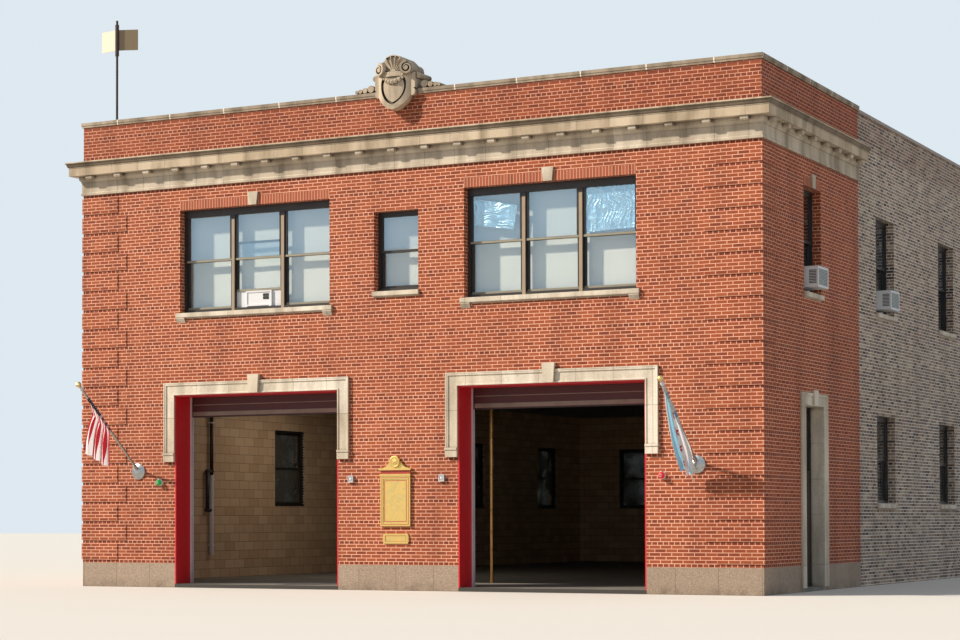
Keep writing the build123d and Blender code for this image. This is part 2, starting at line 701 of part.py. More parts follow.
def cooler(window, lights, light, height, out):
    """Air conditioner on two feet under a raised sash, with its filler board, drawn on the front."""
    middles, light_width = light_middles(window, lights)
    x = middles[light]
    half = COOLER_WIDTH / 2
    z0 = window[2] + FRAME_FACE
    back = REVEAL + FRAME_DEPTH + COOLER_TAIL
    body = block(x - half, x + half, -out, back, z0 + COOLER_LIFT, z0 + height)
    body -= block(x - half + COOLER_RIM, x + half - COOLER_RIM, -out, -out + COOLER_SUNK,
                  z0 + COOLER_LIFT + COOLER_RIM, z0 + height - COOLER_RIM)
    for edge in (x - half, x + half - COOLER_FOOT):
        body += block(edge, edge + COOLER_FOOT, REVEAL, REVEAL + FRAME_DEPTH, z0, z0 + COOLER_LIFT)
    board_y = REVEAL + BOARD_IN
    board = block(x - light_width / 2, x + light_width / 2, board_y, board_y + BOARD_THICK,
                  z0, z0 + height)
    return body + board


def shade(window, lights):
    """Roller shades hung from the head behind the frame, one to a light."""
    _, _, foot, head = window
    middles, light_width = light_middles(window, lights)
    half = (light_width + MULLION - SHADE_GAP) / 2
    y = REVEAL + FRAME_DEPTH + SHADE_BACK
    return [block(x - half, x + half, y, y + SHADE_THICK, foot + SHADE_LIFT, head) for x in middles]


frames, panes = [], []
for window, lights, raised in ((WIDE[0], WIDE_LIGHTS, {COOLED_LIGHT: FRONT_COOLER}),
                               (WIDE[1], WIDE_LIGHTS, None), (SMALL, 1, None)):
    frame, glass = sash_window(window, lights, raised)
    frames.append(frame)
    panes += glass
add("front_window_frames", *frames)
add("front_window_glass", *panes)
for name, side in (("right", 1), ("left", -1)):
    frames, panes = [], []
    for number, window in enumerate([RETURN_WINDOW] + BAY_WINDOWS):
        raised = {0: SIDE_COOLER} if side > 0 and number in COOLED_SIDE_WINDOWS else None
        frame, glass = sash_window(window, 1, raised)
        frames.append(on_side(frame, side))
        panes += [on_side(pane, side) for pane in glass]
    add(f"{name}_window_frames", *frames)
    add(f"{name}_window_glass", *panes)
frames, panes = [], []
for window in REAR_WINDOWS:
    frame, glass = sash_window(window, 1)
    frames.append(on_rear(frame))
    panes += [on_rear(pane) for pane in glass]
add("rear_window_frames", *frames)
add("rear_window_glass", *panes)
coolers = [cooler(WIDE[0], WIDE_LIGHTS, COOLED_LIGHT, FRONT_COOLER, -REVEAL - FRONT_COOLER_IN)]
for number in COOLED_SIDE_WINDOWS:
    window = ([RETURN_WINDOW] + BAY_WINDOWS)[number]
    coolers.append(on_side(cooler(window, 1, 0, SIDE_COOLER, COOLER_OUT), 1))
add("air_conditioners", *coolers)
shades = shade(WIDE[0], WIDE_LIGHTS) + shade(WIDE[1], WIDE_LIGHTS) + shade(SMALL, 1)
add("window_shades", *shades)

# Steel linings of the apparatus doorways
linings = []
for x in BAY_X:
    half = DOORWAY_WIDTH / 2
    lining = block(-half, half, 0, LINING_DEPTH, FLOOR_TOP, DOORWAY_HEAD)
    lining -= block(-half + LINING_THICK, half - LINING_THICK, -1, LINING_DEPTH + 1,
                    0, DOORWAY_HEAD - LINING_THICK)
    linings.append(Pos(x, 0, 0) * lining)
add("doorway_linings", *linings)

# Overhead doors parked under the ceiling: the leaf hangs at the head, turns and lies along the tracks
LEAF_SECTION = (DOORWAY_HEAD - FLOOR_TOP + LEAF_LAP) / LEAF_SECTIONS
HANG_FOOT = DOORWAY_HEAD - LEAF_HANG
TURN_FOOT = HANG_FOOT + LEAF_SECTION
TRACK_Y = LINING_DEPTH + TRACK_DEPTH / 2
LEAF_SHIFT = (TRACK_DEPTH - LEAF_THICK) / 2
LEAF_Y = TRACK_Y + LEAF_SHIFT
LEAF_RISE = TRACK_BEND - LEAF_SHIFT
LEAF_HALF = DOORWAY_WIDTH / 2 - TRACK_WIDTH
LEAF_TURNED = (LEAF_SECTION ** 2 - LEAF_RISE ** 2) ** 0.5
TRACK_END = LEAF_Y + LEAF_TURNED + (LEAF_SECTIONS - 2) * LEAF_SECTION + TRACK_SPARE


def door_track():
    """Channel open towards the leaf: up the jamb, round a bend and back under the ceiling."""
    half = TRACK_DEPTH / 2
    outline = Polygon((0, -half), (TRACK_WIDTH, -half), (TRACK_WIDTH, half), (0, half), align=None)
    mouth = Polygon((-1, TRACK_WALL - half), (TRACK_WIDTH - TRACK_WALL, TRACK_WALL - half),
                    (TRACK_WIDTH - TRACK_WALL, half - TRACK_WALL), (-1, half - TRACK_WALL), align=None)
    turns = [pi / 2 * i / TRACK_FLATS for i in range(TRACK_FLATS + 1)]
    bend = [(0, TRACK_Y + TRACK_BEND * (1 - cos(a)), TURN_FOOT + TRACK_BEND * sin(a)) for a in turns]
    path = Polyline((0, TRACK_Y, FLOOR_TOP), *bend, (0, TRACK_END, bend[-1][2]))
    start = Plane(origin=(0, TRACK_Y, FLOOR_TOP), x_dir=(1, 0, 0), z_dir=(0, 0, 1))
    track = sweep(start * (outline - mouth), path=path, transition=Transition.RIGHT)
    return Pos(LEAF_HALF, 0, 0) * track


def strip(points, half_thick):
    """Outline of a folded strip of even thickness that follows points."""
    rims = ([], [])
    for i, (y, z) in enumerate(points):
        before, after = points[max(i - 1, 0)], points[min(i + 1, len(points) - 1)]
        run, rise = after[0] - before[0], after[1] - before[1]
        size = (run ** 2 + rise ** 2) ** 0.5
        rims[0].append((y - rise * half_thick / size, z + run * half_thick / size))
        rims[1].append((y + rise * half_thick / size, z - run * half_thick / size))
    return Polygon(*rims[0], *rims[1][::-1], align=None)


def overhead_leaf():
    """Leaf of sections joined by a thinner core, with a rail along its foot."""
    run_z = TURN_FOOT + LEAF_RISE
    joints = [(LEAF_Y, HANG_FOOT), (LEAF_Y, TURN_FOOT)]
    joints += [(LEAF_Y + LEAF_TURNED + i * LEAF_SECTION, run_z) for i in range(LEAF_SECTIONS - 1)]
    leaf = extrude(Plane.YZ * strip(joints, LEAF_CORE / 2), LEAF_HALF, both=True)
    for (y0, z0), (y1, z1) in zip(joints, joints[1:]):
        share = LEAF_GROOVE / 2 / LEAF_SECTION
        low = (y0 + (y1 - y0) * share, z0 + (z1 - z0) * share)
        high = (y1 - (y1 - y0) * share, z1 - (z1 - z0) * share)
        leaf += extrude(Plane.YZ * strip([low, high], LEAF_THICK / 2), LEAF_HALF, both=True)
    rail = block(-LEAF_HALF, LEAF_HALF, LEAF_Y - RAIL_THICK / 2, LEAF_Y + RAIL_THICK / 2,
                 HANG_FOOT, HANG_FOOT + RAIL_HEIGHT)
    return leaf + rail


track = door_track()
leaf = overhead_leaf()
add("door_tracks", *[Pos(x, 0, 0) * piece for x in BAY_X for piece in (track, mirror_x(track))])
add("overhead_doors", *[Pos(x, 0, 0) * leaf for x in BAY_X])

# Side entrance door, hung in a steel frame under a fixed transom light
frame_half = SIDE_DOOR_WIDTH / 2
frame_back = SIDE_DOOR_REVEAL + SIDE_FRAME_DEPTH
transom_top = TRANSOM_FOOT + TRANSOM_BAR
side_frame = block(-frame_half, frame_half, SIDE_DOOR_REVEAL, frame_back, FLOOR_TOP, SIDE_DOOR_HEAD)
side_frame -= block(-frame_half + DOOR_STILE, frame_half - DOOR_STILE, 0, 2 * frame_back,
                    0, TRANSOM_FOOT)
side_frame -= block(-frame_half + DOOR_STILE, frame_half - DOOR_STILE, 0, 2 * frame_back,
                    transom_top, SIDE_DOOR_HEAD - DOOR_STILE)
transom_y = SIDE_DOOR_REVEAL + SIDE_FRAME_DEPTH / 2
transom_pane = block(-frame_half + DOOR_STILE, frame_half - DOOR_STILE, transom_y,
                     transom_y + GLASS_THICK, transom_top, SIDE_DOOR_HEAD - DOOR_STILE)
leaf_half = frame_half - DOOR_STILE - DOOR_GAP
leaf_foot = FLOOR_TOP + DOOR_GAP
leaf = block(-leaf_half, leaf_half, SIDE_DOOR_REVEAL, SIDE_DOOR_REVEAL + DOOR_LEAF,
             leaf_foot, TRANSOM_FOOT - DOOR_GAP)
HINGE_ACROSS = leaf_half + DOOR_GAP / 2
HINGE_IN = frame_back + KNUCKLE_R + KNUCKLE_CLEAR
plate_out = HINGE_IN - HINGE_PLATE
for z in (leaf_foot + HINGE_LOW, (leaf_foot + TRANSOM_FOOT) / 2, TRANSOM_FOOT - HINGE_HIGH):
    fixed = Pos(HINGE_ACROSS, HINGE_IN, z + KNUCKLE / 2) * Cylinder(KNUCKLE_R, KNUCKLE)
    fixed += block(HINGE_ACROSS + DOOR_GAP / 2, frame_half - HINGE_PLATE, frame_back, HINGE_IN,
                   z, z + KNUCKLE)
    side_frame += fixed
    low = z + KNUCKLE + KNUCKLE_GAP
    top = low + KNUCKLE
    swung = Pos(HINGE_ACROSS, HINGE_IN, low + KNUCKLE / 2) * Cylinder(KNUCKLE_R, KNUCKLE)
    swung += block(leaf_half - HINGE_STRAP, leaf_half, SIDE_DOOR_REVEAL + DOOR_LEAF, plate_out, low, top)
    swung += block(leaf_half - KNUCKLE_R, HINGE_ACROSS, plate_out, HINGE_IN + HINGE_PLATE, low, top)
    leaf += swung
handle_x = -leaf_half + HANDLE_IN
plate_width, plate_thick, plate_height = HANDLE_PLATE
lever_length, lever_thick, lever_height = HANDLE_LEVER
lever_y = SIDE_DOOR_REVEAL - HANDLE_OUT
handle = block(handle_x - plate_width / 2, handle_x + plate_width / 2, SIDE_DOOR_REVEAL - plate_thick,
               SIDE_DOOR_REVEAL, HANDLE_Z - plate_height / 2, HANDLE_Z + plate_height / 2)
handle += block(handle_x - HANDLE_STEM / 2, handle_x + HANDLE_STEM / 2, lever_y,
                SIDE_DOOR_REVEAL - plate_thick, HANDLE_Z - HANDLE_STEM / 2, HANDLE_Z + HANDLE_STEM / 2)
handle += block(handle_x - HANDLE_STEM / 2, handle_x + lever_length, lever_y, lever_y + lever_thick,
                HANDLE_Z - lever_height / 2, HANDLE_Z + lever_height / 2)
place = Pos(RETURN_OPENING_Y, 0, 0)
add("side_door_frame", on_side(place * side_frame, 1))
add("side_door", on_side(place * leaf, 1))
add("side_door_handle", on_side(place * handle, 1))
add("right_window_glass", parts["right_window_glass"], on_side(place * transom_pane, 1))

# Sliding pole
add("sliding_pole", Pos(POLE_X, POLE_Y, (FLOOR_TOP + ROOF_TOP - ROOF_THICK) / 2)
    * Cylinder(POLE_R, ROOF_TOP - ROOF_THICK - FLOOR_TOP))


def disc(radius, depth):
    """Round boss standing out of the wall by depth."""
    return Rot(90, 0, 0) * Cylinder(radius, depth, align=(Align.CENTER, Align.CENTER, Align.MIN))


def turned_boss(*profile):
    """Boss on the wall, turned from points given as (radius, way out)."""
    face = Polygon(*[(r, -out) for r, out in profile], align=None)
    return revolve(face, Axis.Y)


def bead(radius):
    """Small ball cut with flats, as carvings and castings this size are."""
    ball = None
    for plane in (Plane.XY, Plane.XZ, Plane.YZ):
        prism = extrude(plane * RegularPolygon(radius, BALL_FLATS), radius, both=True)
        ball = ball & prism if ball else prism
    return ball


# Flagpoles: round plate, domed boss, socket, pole and ball
slope = radians(FLAGPOLE_SLOPE)
poles = []
for x, z, length in zip(FLAGPOLE_X, FLAGPOLE_Z, FLAGPOLE_LENGTH):
    piece = turned_boss((0, 0), (FLAG_PLATE_R, 0), (FLAG_PLATE_R, FLAG_PLATE_THICK),
                        (FLAG_SOCKET_R, FLAG_DOME_OUT), (0, FLAG_DOME_OUT))
    along = Rot(90 - FLAGPOLE_SLOPE, 0, 0)
    piece += along * Pos(0, 0, length / 2) * Cylinder(FLAGPOLE_R, length)
    piece += along * extrude(Plane.XY * RegularPolygon(FLAG_SOCKET_R, FLAG_SOCKET_FLATS), FLAG_SOCKET_LENGTH)
    piece += along * Pos(0, 0, length + FLAG_BALL_R / 2) * bead(FLAG_BALL_R)
    piece -= block(-FLAG_PLATE_R, FLAG_PLATE_R, 0, FLAG_PLATE_R, -FLAG_PLATE_R, FLAG_PLATE_R)
    poles.append(Pos(x, 0, z) * piece)
add("flagpoles", *poles)


def flag(hoist, corners):
    """Limp flag in folds, hanging from a pole whose foot is at the origin."""
    drop = (FLAGPOLE_R + FLAG_TIE) / cos(slope)
    (top_y, top_z), (low_y, low_z) = [(-r * cos(slope), r * sin(slope) - drop) for r in hoist]
    (far_y, far_z), (near_y, near_z) = [(-out, z) for out, z in corners]
    y0 = min(top_y, far_y) - 1
    y1 = max(low_y, near_y) + 1
    steps = round((y1 - y0) / FLAG_FOLD_PITCH * FLAG_FOLD_STEPS)
    ys = [y0 + (y1 - y0) * i / steps for i in range(steps + 1)]
    wave = [(FLAG_FOLD * sin(2 * pi * (y - y0) / FLAG_FOLD_PITCH), y) for y in ys]
    half = FLAG_THICK / 2
    plan = [(x + half, y) for x, y in wave] + [(x - half, y) for x, y in wave[::-1]]
    height = max(top_z, low_z) - min(far_z, near_z)
    cloth = Pos(0, 0, min(far_z, near_z)) * extrude(Plane.XY * Polygon(*plan, align=None), height)
    outline = Polygon((top_y, top_z), (low_y, low_z), (near_y, near_z), (far_y, far_z), align=None)
    return cloth & extrude(Plane.YZ * outline, 2 * FLAG_FOLD, both=True)


flags = [Pos(x, 0, z) * flag(hoist, corners)
         for x, z, hoist, corners in zip(FLAGPOLE_X, FLAGPOLE_Z, FLAG_HOISTS, FLAG_CORNERS)]
add("flags", *flags)

# Large plaque: framed field, red band, ledge, swan-neck crest and medallion
plaque_mid = sum(PLAQUE_X) / 2
plaque_half = (PLAQUE_X[1] - PLAQUE_X[0]) / 2
plaque_foot, plaque_top = PLAQUE_Z
plaque = block(-plaque_half, plaque_half, -PLAQUE_OUT, 0, plaque_foot, plaque_top)
plaque -= block(-plaque_half + PLAQUE_RIM, plaque_half - PLAQUE_RIM, -PLAQUE_OUT,
                -PLAQUE_OUT + PLAQUE_SUNK, plaque_foot + PLAQUE_RIM, plaque_top - PLAQUE_RIM)


def ledge(over, foot):
    """Ledge of the plaque, wider and further out than its field."""
    across, out = over
    return block(-plaque_half - across, plaque_half + across, -PLAQUE_OUT - out, 0,
                 foot, foot + PLAQUE_LEDGE)


band_foot = plaque_top + PLAQUE_LEDGE
band_top = band_foot + PLAQUE_BAND
ledge_top = band_top + PLAQUE_LEDGE
crest_top = ledge_top + CREST_HEIGHT
plaque += ledge(LOW_LEDGE_OVER, plaque_top) + ledge(HIGH_LEDGE_OVER, band_top)
plaque += block(-plaque_half + BAND_SUNK, plaque_half - BAND_SUNK, -PLAQUE_OUT + BAND_SUNK, 0,
                band_foot, band_top)
crest_half = plaque_half - CREST_INSET
with BuildSketch(Plane.XZ) as crest_face:
    with BuildLine():
        for side in (-1, 1):
            knee, bend, hollow = [(side * plaque_half * share, ledge_top + rise)
                                  for share, rise in (CREST_KNEE, CREST_BEND, CREST_HOLLOW)]
            ThreePointArc((side * crest_half, ledge_top), knee, bend)
            ThreePointArc(bend, hollow, (side * CREST_NECK, crest_top))
        Line((-CREST_NECK, crest_top), (CREST_NECK, crest_top))
        Line((-crest_half, ledge_top), (crest_half, ledge_top))
    make_face()
plaque += extrude(crest_face.sketch, PLAQUE_OUT)
plaque += Pos(0, 0, crest_top - MEDALLION_DROP) * disc(MEDALLION_R, MEDALLION_OUT)
small_foot, small_top = SMALL_PLAQUE_Z
rim_x, rim_z = SMALL_PLAQUE_RIM
small = block(-SMALL_PLAQUE_HALF, SMALL_PLAQUE_HALF, -SMALL_PLAQUE_OUT, 0, small_foot, small_top)
small -= block(-SMALL_PLAQUE_HALF + rim_x, SMALL_PLAQUE_HALF - rim_x, -SMALL_PLAQUE_OUT,
               SMALL_PLAQUE_SUNK - SMALL_PLAQUE_OUT, small_foot + rim_z, small_top - rim_z)
middle = Pos(plaque_mid, 0, 0)
add("plaques", middle * plaque, middle * small)

# Call boxes and signal lamps on the front
fittings = [block(x - CALL_BOX_HALF, x + CALL_BOX_HALF, -CALL_BOX_OUT, 0, *CALL_BOX_Z)
            for x in CALL_BOX_X]
for x, z in LAMPS:
    dome = [(LAMP_R * wide, LAMP_OUT * out) for wide, out in LAMP_DOME]
    lens = turned_boss((0, 0), (LAMP_R, 0), *dome, (0, LAMP_OUT))
    fittings.append(Pos(x, 0, z) * lens)
add("wall_fittings", *fittings)

# Aerial mast with two flat panels on a sleeve
mast = Pos(MAST_X, MAST_Y, (ROOF_TOP + MAST_TOP) / 2) * Cylinder(MAST_R, MAST_TOP - ROOF_TOP)
mast += Pos(MAST_X, MAST_Y, ROOF_TOP + MAST_FOOT_THICK / 2) * Box(MAST_FOOT, MAST_FOOT, MAST_FOOT_THICK)
mast += Pos(MAST_X, MAST_Y, sum(SLEEVE_Z) / 2) * Cylinder(SLEEVE_R, SLEEVE_Z[1] - SLEEVE_Z[0])
for turn in PANEL_TURNS:
    panel = block(0, PANEL_WIDTH, -PANEL_THICK / 2, PANEL_THICK / 2, *PANEL_Z)
    mast += Pos(MAST_X, MAST_Y, 0) * Rot(0, 0, turn) * panel
add("aerial_mast", mast)


# Cartouche on the parapet, drawn with its middle at the top of the coping
def bow(out):
    """Upright drum whose front stands out of the wall by out."""
    return Pos(0, BOW_R - out, 0) * Cylinder(BOW_R, 4 * FRAME_HALF)


def bowed(face, out):
    """Carving of the given outline whose front is bowed about an upright axis."""
    return extrude(face, 2 * out) & bow(out)


def spiral_band(radius, turns, thick):
    """Face of a scroll: a band wound inwards from the top."""
    steps = int(VOLUTE_STEPS * turns)
    rim = [(radius * (1 - VOLUTE_CLOSING * i / steps), pi / 2 + 2 * pi * turns * i / steps)
           for i in range(steps + 1)]
    outer = [(r * cos(t), r * sin(t)) for r, t in rim]
    inner = [(r * (1 - thick / radius) * cos(t), r * (1 - thick / radius) * sin(t)) for r, t in rim]
    return Plane.XZ * Polygon(*outer, *inner[::-1], align=None)


def shield_outline(half_width, top, tip):
    """Pointed shield with hollowed shoulders, as a face on the wall."""
    with BuildSketch(Plane.XZ) as sketch:
        with BuildLine():
            for side in (-1, 1):
                shoulder = (side * half_width * 0.80, top)
                waist = (side * half_width, top * 0.30)
                Line((0, top), shoulder)
                ThreePointArc(shoulder, (side * half_width * 0.98, top * 0.62), waist)
                ThreePointArc(waist, (side * half_width * 0.66, tip * 0.62), (0, tip))
        make_face()
    return sketch.sketch


def roll_back(x, z, radius, out, back):
    """Roll lying across the parapet, carved with flats, from its front to its back."""
    return Pos(x, back, z) * extrude(Plane.XZ * RegularPolygon(radius, ROLL_FLATS), back + out)


def shell_hood():
    """Barrel hood over the shield, fluted in front like a shell."""
    hood = roll_back(0, HOOD_Z, HOOD_R, HOOD_OUT, CARTOUCHE_BACK)
    foot, tip = RegularPolygon(FLUTE_FOOT_R, FLUTE_FLATS), RegularPolygon(FLUTE_TIP_R, FLUTE_FLATS)
    flute = loft([foot, Pos(0, 0, FLUTE_LENGTH) * tip])
    for i in range(FLUTES):
        lean = FLUTE_SPREAD * (2 * i / (FLUTES - 1) - 1)
        root = Pos(0, FLUTE_SUNK - HOOD_OUT, HOOD_Z - FLUTE_DROP)
        hood -= root * Rot(0, lean, 0) * Rot(FLUTE_TILT, 0, 0) * flute
    return hood


def cartouche():
    """Shield in a scrolled frame under a shell hood, with a garland and rolled ears."""
    frame = bowed(shield_outline(FRAME_HALF, SHOULDER_Z, TIP_Z), FRAME_OUT)
    field = extrude(shield_outline(FIELD_HALF, SHOULDER_Z - FIELD_INSET, TIP_Z + FIELD_INSET), FRAME_OUT)
    frame -= field - bow(FIELD_OUT)
    frame += bowed(shield_outline(SWELL_HALF, SHOULDER_Z - SWELL_INSET, TIP_Z + SWELL_INSET), SWELL_OUT)
    pieces = [shell_hood()]
    strap = block(-STRAP_HALF, STRAP_HALF, -STRAP_OUT, CARTOUCHE_BACK, *STRAP_Z)
    pieces.append(strap)
    for side in (-1, 1):
        volute = extrude(spiral_band(VOLUTE_R, VOLUTE_TURNS, VOLUTE_BAND), VOLUTE_OUT)
        volute += roll_back(0, 0, VOLUTE_EYE_R, VOLUTE_OUT, 0)
        volute += roll_back(0, 0, VOLUTE_CORE_R, VOLUTE_OUT - VOLUTE_SUNK, 0)
        volute = Pos(VOLUTE_X, 0, VOLUTE_Z) * Rot(0, 0, VOLUTE_TURNED) * volute
        volute += roll_back(VOLUTE_X, VOLUTE_Z, VOLUTE_CORE_R, 0, CARTOUCHE_BACK)
        pieces.append(volute if side > 0 else mirror_x(volute))
        pieces.append(roll_back(side * EAR_X, EAR_Z, EAR_R, EAR_OUT, CARTOUCHE_BACK))
        pieces.append(roll_back(side * HOOK_X, HOOK_Z, HOOK_R, STRAP_OUT, 0))
    for i in range(GARLAND_FRUITS):
        t = 2 * i / (GARLAND_FRUITS - 1) - 1
        fruit = bead(GARLAND_R * (1 - 0.35 * t * t))
        x = t * GARLAND_HALF
        y = BOW_R - FIELD_OUT - (BOW_R ** 2 - x ** 2) ** 0.5
        pieces.append(Pos(x, y - GARLAND_R * 0.6, GARLAND_Z + GARLAND_SAG * t * t) * fruit)
    for piece in pieces:
        frame += piece
    return frame - block(-WIDTH, WIDTH, 0, DEPTH, 2 * TIP_Z, 0)


def coping_scroll(side):
    """Foliage scroll lying on the coping beside the cartouche: rolls along a tapering stem."""
    front, back = SCROLL_DEPTH
    root = STRAP_HALF - STEM_LAP
    ridge = [(max(x, root), height) for x, height in STEM_BACK]
    stem = Polygon((root, 0), *ridge, (ridge[-1][0], 0), align=None)
    piece = Pos(0, back, 0) * extrude(Plane.XZ * stem, back - front)
    for x, radius in SCROLL_ROLLS:
        piece += roll_back(x, radius, radius, -front, back)
    return piece if side > 0 else mirror_x(piece)


carving = cartouche() - block(-WIDTH, WIDTH, -COPING_LIP, 0, -STONE_COPING_THICK, 0)
place = Pos(CARTOUCHE_X, 0, STONE_COPING_TOP)
add("cartouche", place * (carving + coping_scroll(1) + coping_scroll(-1)))

if __name__ == "__main__":
    os.makedirs("parts", exist_ok=True)
    for name, shape in parts.items():
        export_step(shape, f"parts/{name}.step")
    print(len(parts), "pieces")
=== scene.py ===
"""Looks of a two-storey brick fire station: materials, cloth, window dressing, light and camera."""
from math import cos, pi, radians, sin
import bmesh
import bpy
from mathutils import Matrix, Vector, noise


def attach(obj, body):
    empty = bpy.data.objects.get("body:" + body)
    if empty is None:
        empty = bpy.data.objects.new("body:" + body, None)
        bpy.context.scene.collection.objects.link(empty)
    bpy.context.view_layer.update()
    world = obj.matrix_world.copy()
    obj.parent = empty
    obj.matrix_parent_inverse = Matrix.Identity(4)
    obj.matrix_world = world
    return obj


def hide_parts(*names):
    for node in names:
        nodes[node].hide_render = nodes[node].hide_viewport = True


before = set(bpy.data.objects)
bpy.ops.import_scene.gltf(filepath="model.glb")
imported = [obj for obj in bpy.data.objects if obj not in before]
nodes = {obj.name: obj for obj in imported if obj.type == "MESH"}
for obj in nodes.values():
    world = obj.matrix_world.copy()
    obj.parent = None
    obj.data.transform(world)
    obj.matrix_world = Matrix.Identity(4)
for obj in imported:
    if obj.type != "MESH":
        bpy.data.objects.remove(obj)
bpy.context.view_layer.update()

# Sizes shared with the solids, in metres
COURSE = 0.0677
BRICK = 0.2234
GRANITE_TOP = 0.5
HALF = 34 * BRICK
INNER = HALF - 1.5 * BRICK
FRONT_WALL = 2 * BRICK
BACK_INNER = (112 - 1.5) * BRICK
FLOOR_TOP = 0.075
UPPER_FLOOR_FOOT = 4.55
CEILING = 8.6
REVEAL = 0.17
FRAME_FACE = 0.055
MULLION = 0.09
SASH_FACE = 0.048
BAY_X = (-3.275, 3.345)
WIDE_X = (-3.316, 3.323)
WIDE_WIDTH = 3.612
SMALL_X = 0.012
RETURN_Y = 2.85
BAY_COOLER_Y = 7.69
CORONA_FOOT, CORONA_TOP, CROWN_LIP, CROWN_TOP = 8.688, 8.854, 8.948, 8.978
LEAF_FOOT = 3.546
POLE_SLOPE = radians(40)
POLE_DROP = 0.034
LEFT_POLE, LEFT_POLE_LENGTH = (-6.154, 0, 2.404), 2.64
RIGHT_POLE, RIGHT_POLE_LENGTH = (6.318, 0, 2.388), 2.26
MAST_X, MAST_PANELS = -7.1455, (11.46, 11.9)
PLAQUE_MID, PLAQUE_HALF = 0.01, 0.335
FLAG_HOIST, FLAG_FLY = 0.91, 1.37


def level(courses):
    """Height of the top of a brick course, counted from the granite."""
    return GRANITE_TOP + courses * COURSE


WIDE_HEAD, WIDE_SILL = level(108), level(76.7)
SMALL_HEAD, SMALL_SILL = level(103), level(79.9)
RETURN_HEAD, RETURN_SILL = level(107), level(77.4)
BAY_UPPER_SILL = level(77.1)
WIDE_MEET = (WIDE_SILL + WIDE_HEAD) / 2
WIDE_LIGHT = (WIDE_WIDTH - 2 * FRAME_FACE - 2 * MULLION) / 3
WIDE_PITCH = WIDE_LIGHT + MULLION

# Washed fascia, hollow in painted shade and soot, clean top edge of the cornice: foot, top and stain
# of each
CROWN_SOOT_AND_SHADE = ((CORONA_FOOT, CORONA_TOP, "#fdf6ec"), (CORONA_TOP + 0.01, CROWN_LIP, "#a39b92"),
                (CROWN_LIP, CROWN_TOP, "#fffdf6"))

# A wave texture of scale 1 repeats every WAVE metres
WAVE = pi / 10


# Nodes and coats

def linear(code):
    """Linear colour from an sRGB hex value."""
    parts = [int(code[i:i + 2], 16) / 255 for i in (1, 3, 5)]
    return [c / 12.92 if c <= 0.04045 else ((c + 0.055) / 1.055) ** 2.4 for c in parts] + [1.0]


def put(tree, kind, *values, out=0, sockets=None, ramp=None, **settings):
    """Adds a node and gives one of its outputs.

    values fill its sockets in order and sockets fills them by name or number, each with a number, an
    sRGB hex colour or an output to link. ramp gives colour stops.
    """
    node = tree.nodes.new("ShaderNode" + kind)
    for key, value in settings.items():
        setattr(node, key, value)
    for key, value in {**dict(enumerate(values)), **(sockets or {})}.items():
        if isinstance(value, bpy.types.NodeSocket):
            tree.links.new(value, node.inputs[key])
        else:
            node.inputs[key].default_value = linear(value) if isinstance(value, str) else value
    if ramp:
        stops = node.color_ramp.elements
        while len(stops) < len(ramp):
            stops.new(0.5)
        for stop, (place, colour) in zip(stops, ramp):
            stop.position = place
            stop.color = linear(colour)
    return node.outputs[out] if node.outputs else None


def fresh(name):
    """New node material and its empty tree."""
    material = bpy.data.materials.new(name)
    material.use_nodes = True
    material.node_tree.nodes.clear()
    return material, material.node_tree


def finish(tree, colour, roughness, height=None, depth=0.001, **sockets):
    """Closes a material: colour and roughness into the shader, height into its bump."""
    inputs = {"Base Color": colour, "Roughness": roughness, **sockets}
    if height is not None:
        inputs["Normal"] = put(tree, "Bump",
                               sockets={"Strength": 1.0, "Distance": depth, "Height": height})
    put(tree, "OutputMaterial", put(tree, "BsdfPrincipled", sockets=inputs))


def coat(tree, face, colour, share, strength=1.0, how="MIX"):
    """Lays a colour over a face, as thickly as share (0 to 1 over the surface) times strength."""
    if strength != 1.0:
        share = put(tree, "Math", share, strength, operation="MULTIPLY")
    return put(tree, "Mix", share, out=2, sockets={6: face, 7: colour}, data_type="RGBA",
               blend_type=how)


def stain(tree, face, colour, share, strength=1.0):
    """Lets a colour soak into a face: it darkens what it covers."""
    return coat(tree, face, colour, share, strength, "MULTIPLY")


def between(tree, value, low, high):
    """1 where a value lies between low and high, 0 elsewhere."""
    above = put(tree, "Math", value, low, operation="GREATER_THAN")
    below = put(tree, "Math", value, high, operation="LESS_THAN")
    return put(tree, "Math", above, below, operation="MULTIPLY")


def relief(tree, gap, grain=None, depth=0.0):
    """Height of a face that stands proud of its joints, roughened by its grain."""
    face = put(tree, "Math", 1.0, gap, operation="SUBTRACT")
    if grain is None:
        return face
    return put(tree, "Math", grain, depth, face, operation="MULTIPLY_ADD")


def cloud(tree, where, size, detail=3.0, low=0.35, high=0.65):
    """Soft noise from 0 to 1 whose lumps are about size metres across."""
    lumps = put(tree, "TexNoise", sockets={"Vector": where, "Scale": 1 / size, "Detail": detail})
    return put(tree, "MapRange", lumps, low, high)


def place_of(tree):
    """Place in the building, in metres, with its three parts."""
    where = put(tree, "TexCoord", out="Object")
    return where, put(tree, "SeparateXYZ", where).node.outputs


def wall_plane(tree, foot=GRANITE_TOP):
    """Place on a wall as (along, up, 0): along is y on faces that look along x, and x on the rest."""
    _, (x, y, z) = place_of(tree)
    facing = put(tree, "SeparateXYZ", put(tree, "TexCoord", out="Normal")).node.outputs
    turned, flat = [put(tree, "Math", put(tree, "Math", facing[i], operation="ABSOLUTE"), 0.6,
                        operation="GREATER_THAN") for i in (0, 2)]
    along = put(tree, "Mix", turned, sockets={2: x, 3: y})
    up = put(tree, "Mix", flat, sockets={2: put(tree, "Math", z, foot, operation="SUBTRACT"), 3: y})
    return put(tree, "CombineXYZ", along, up)


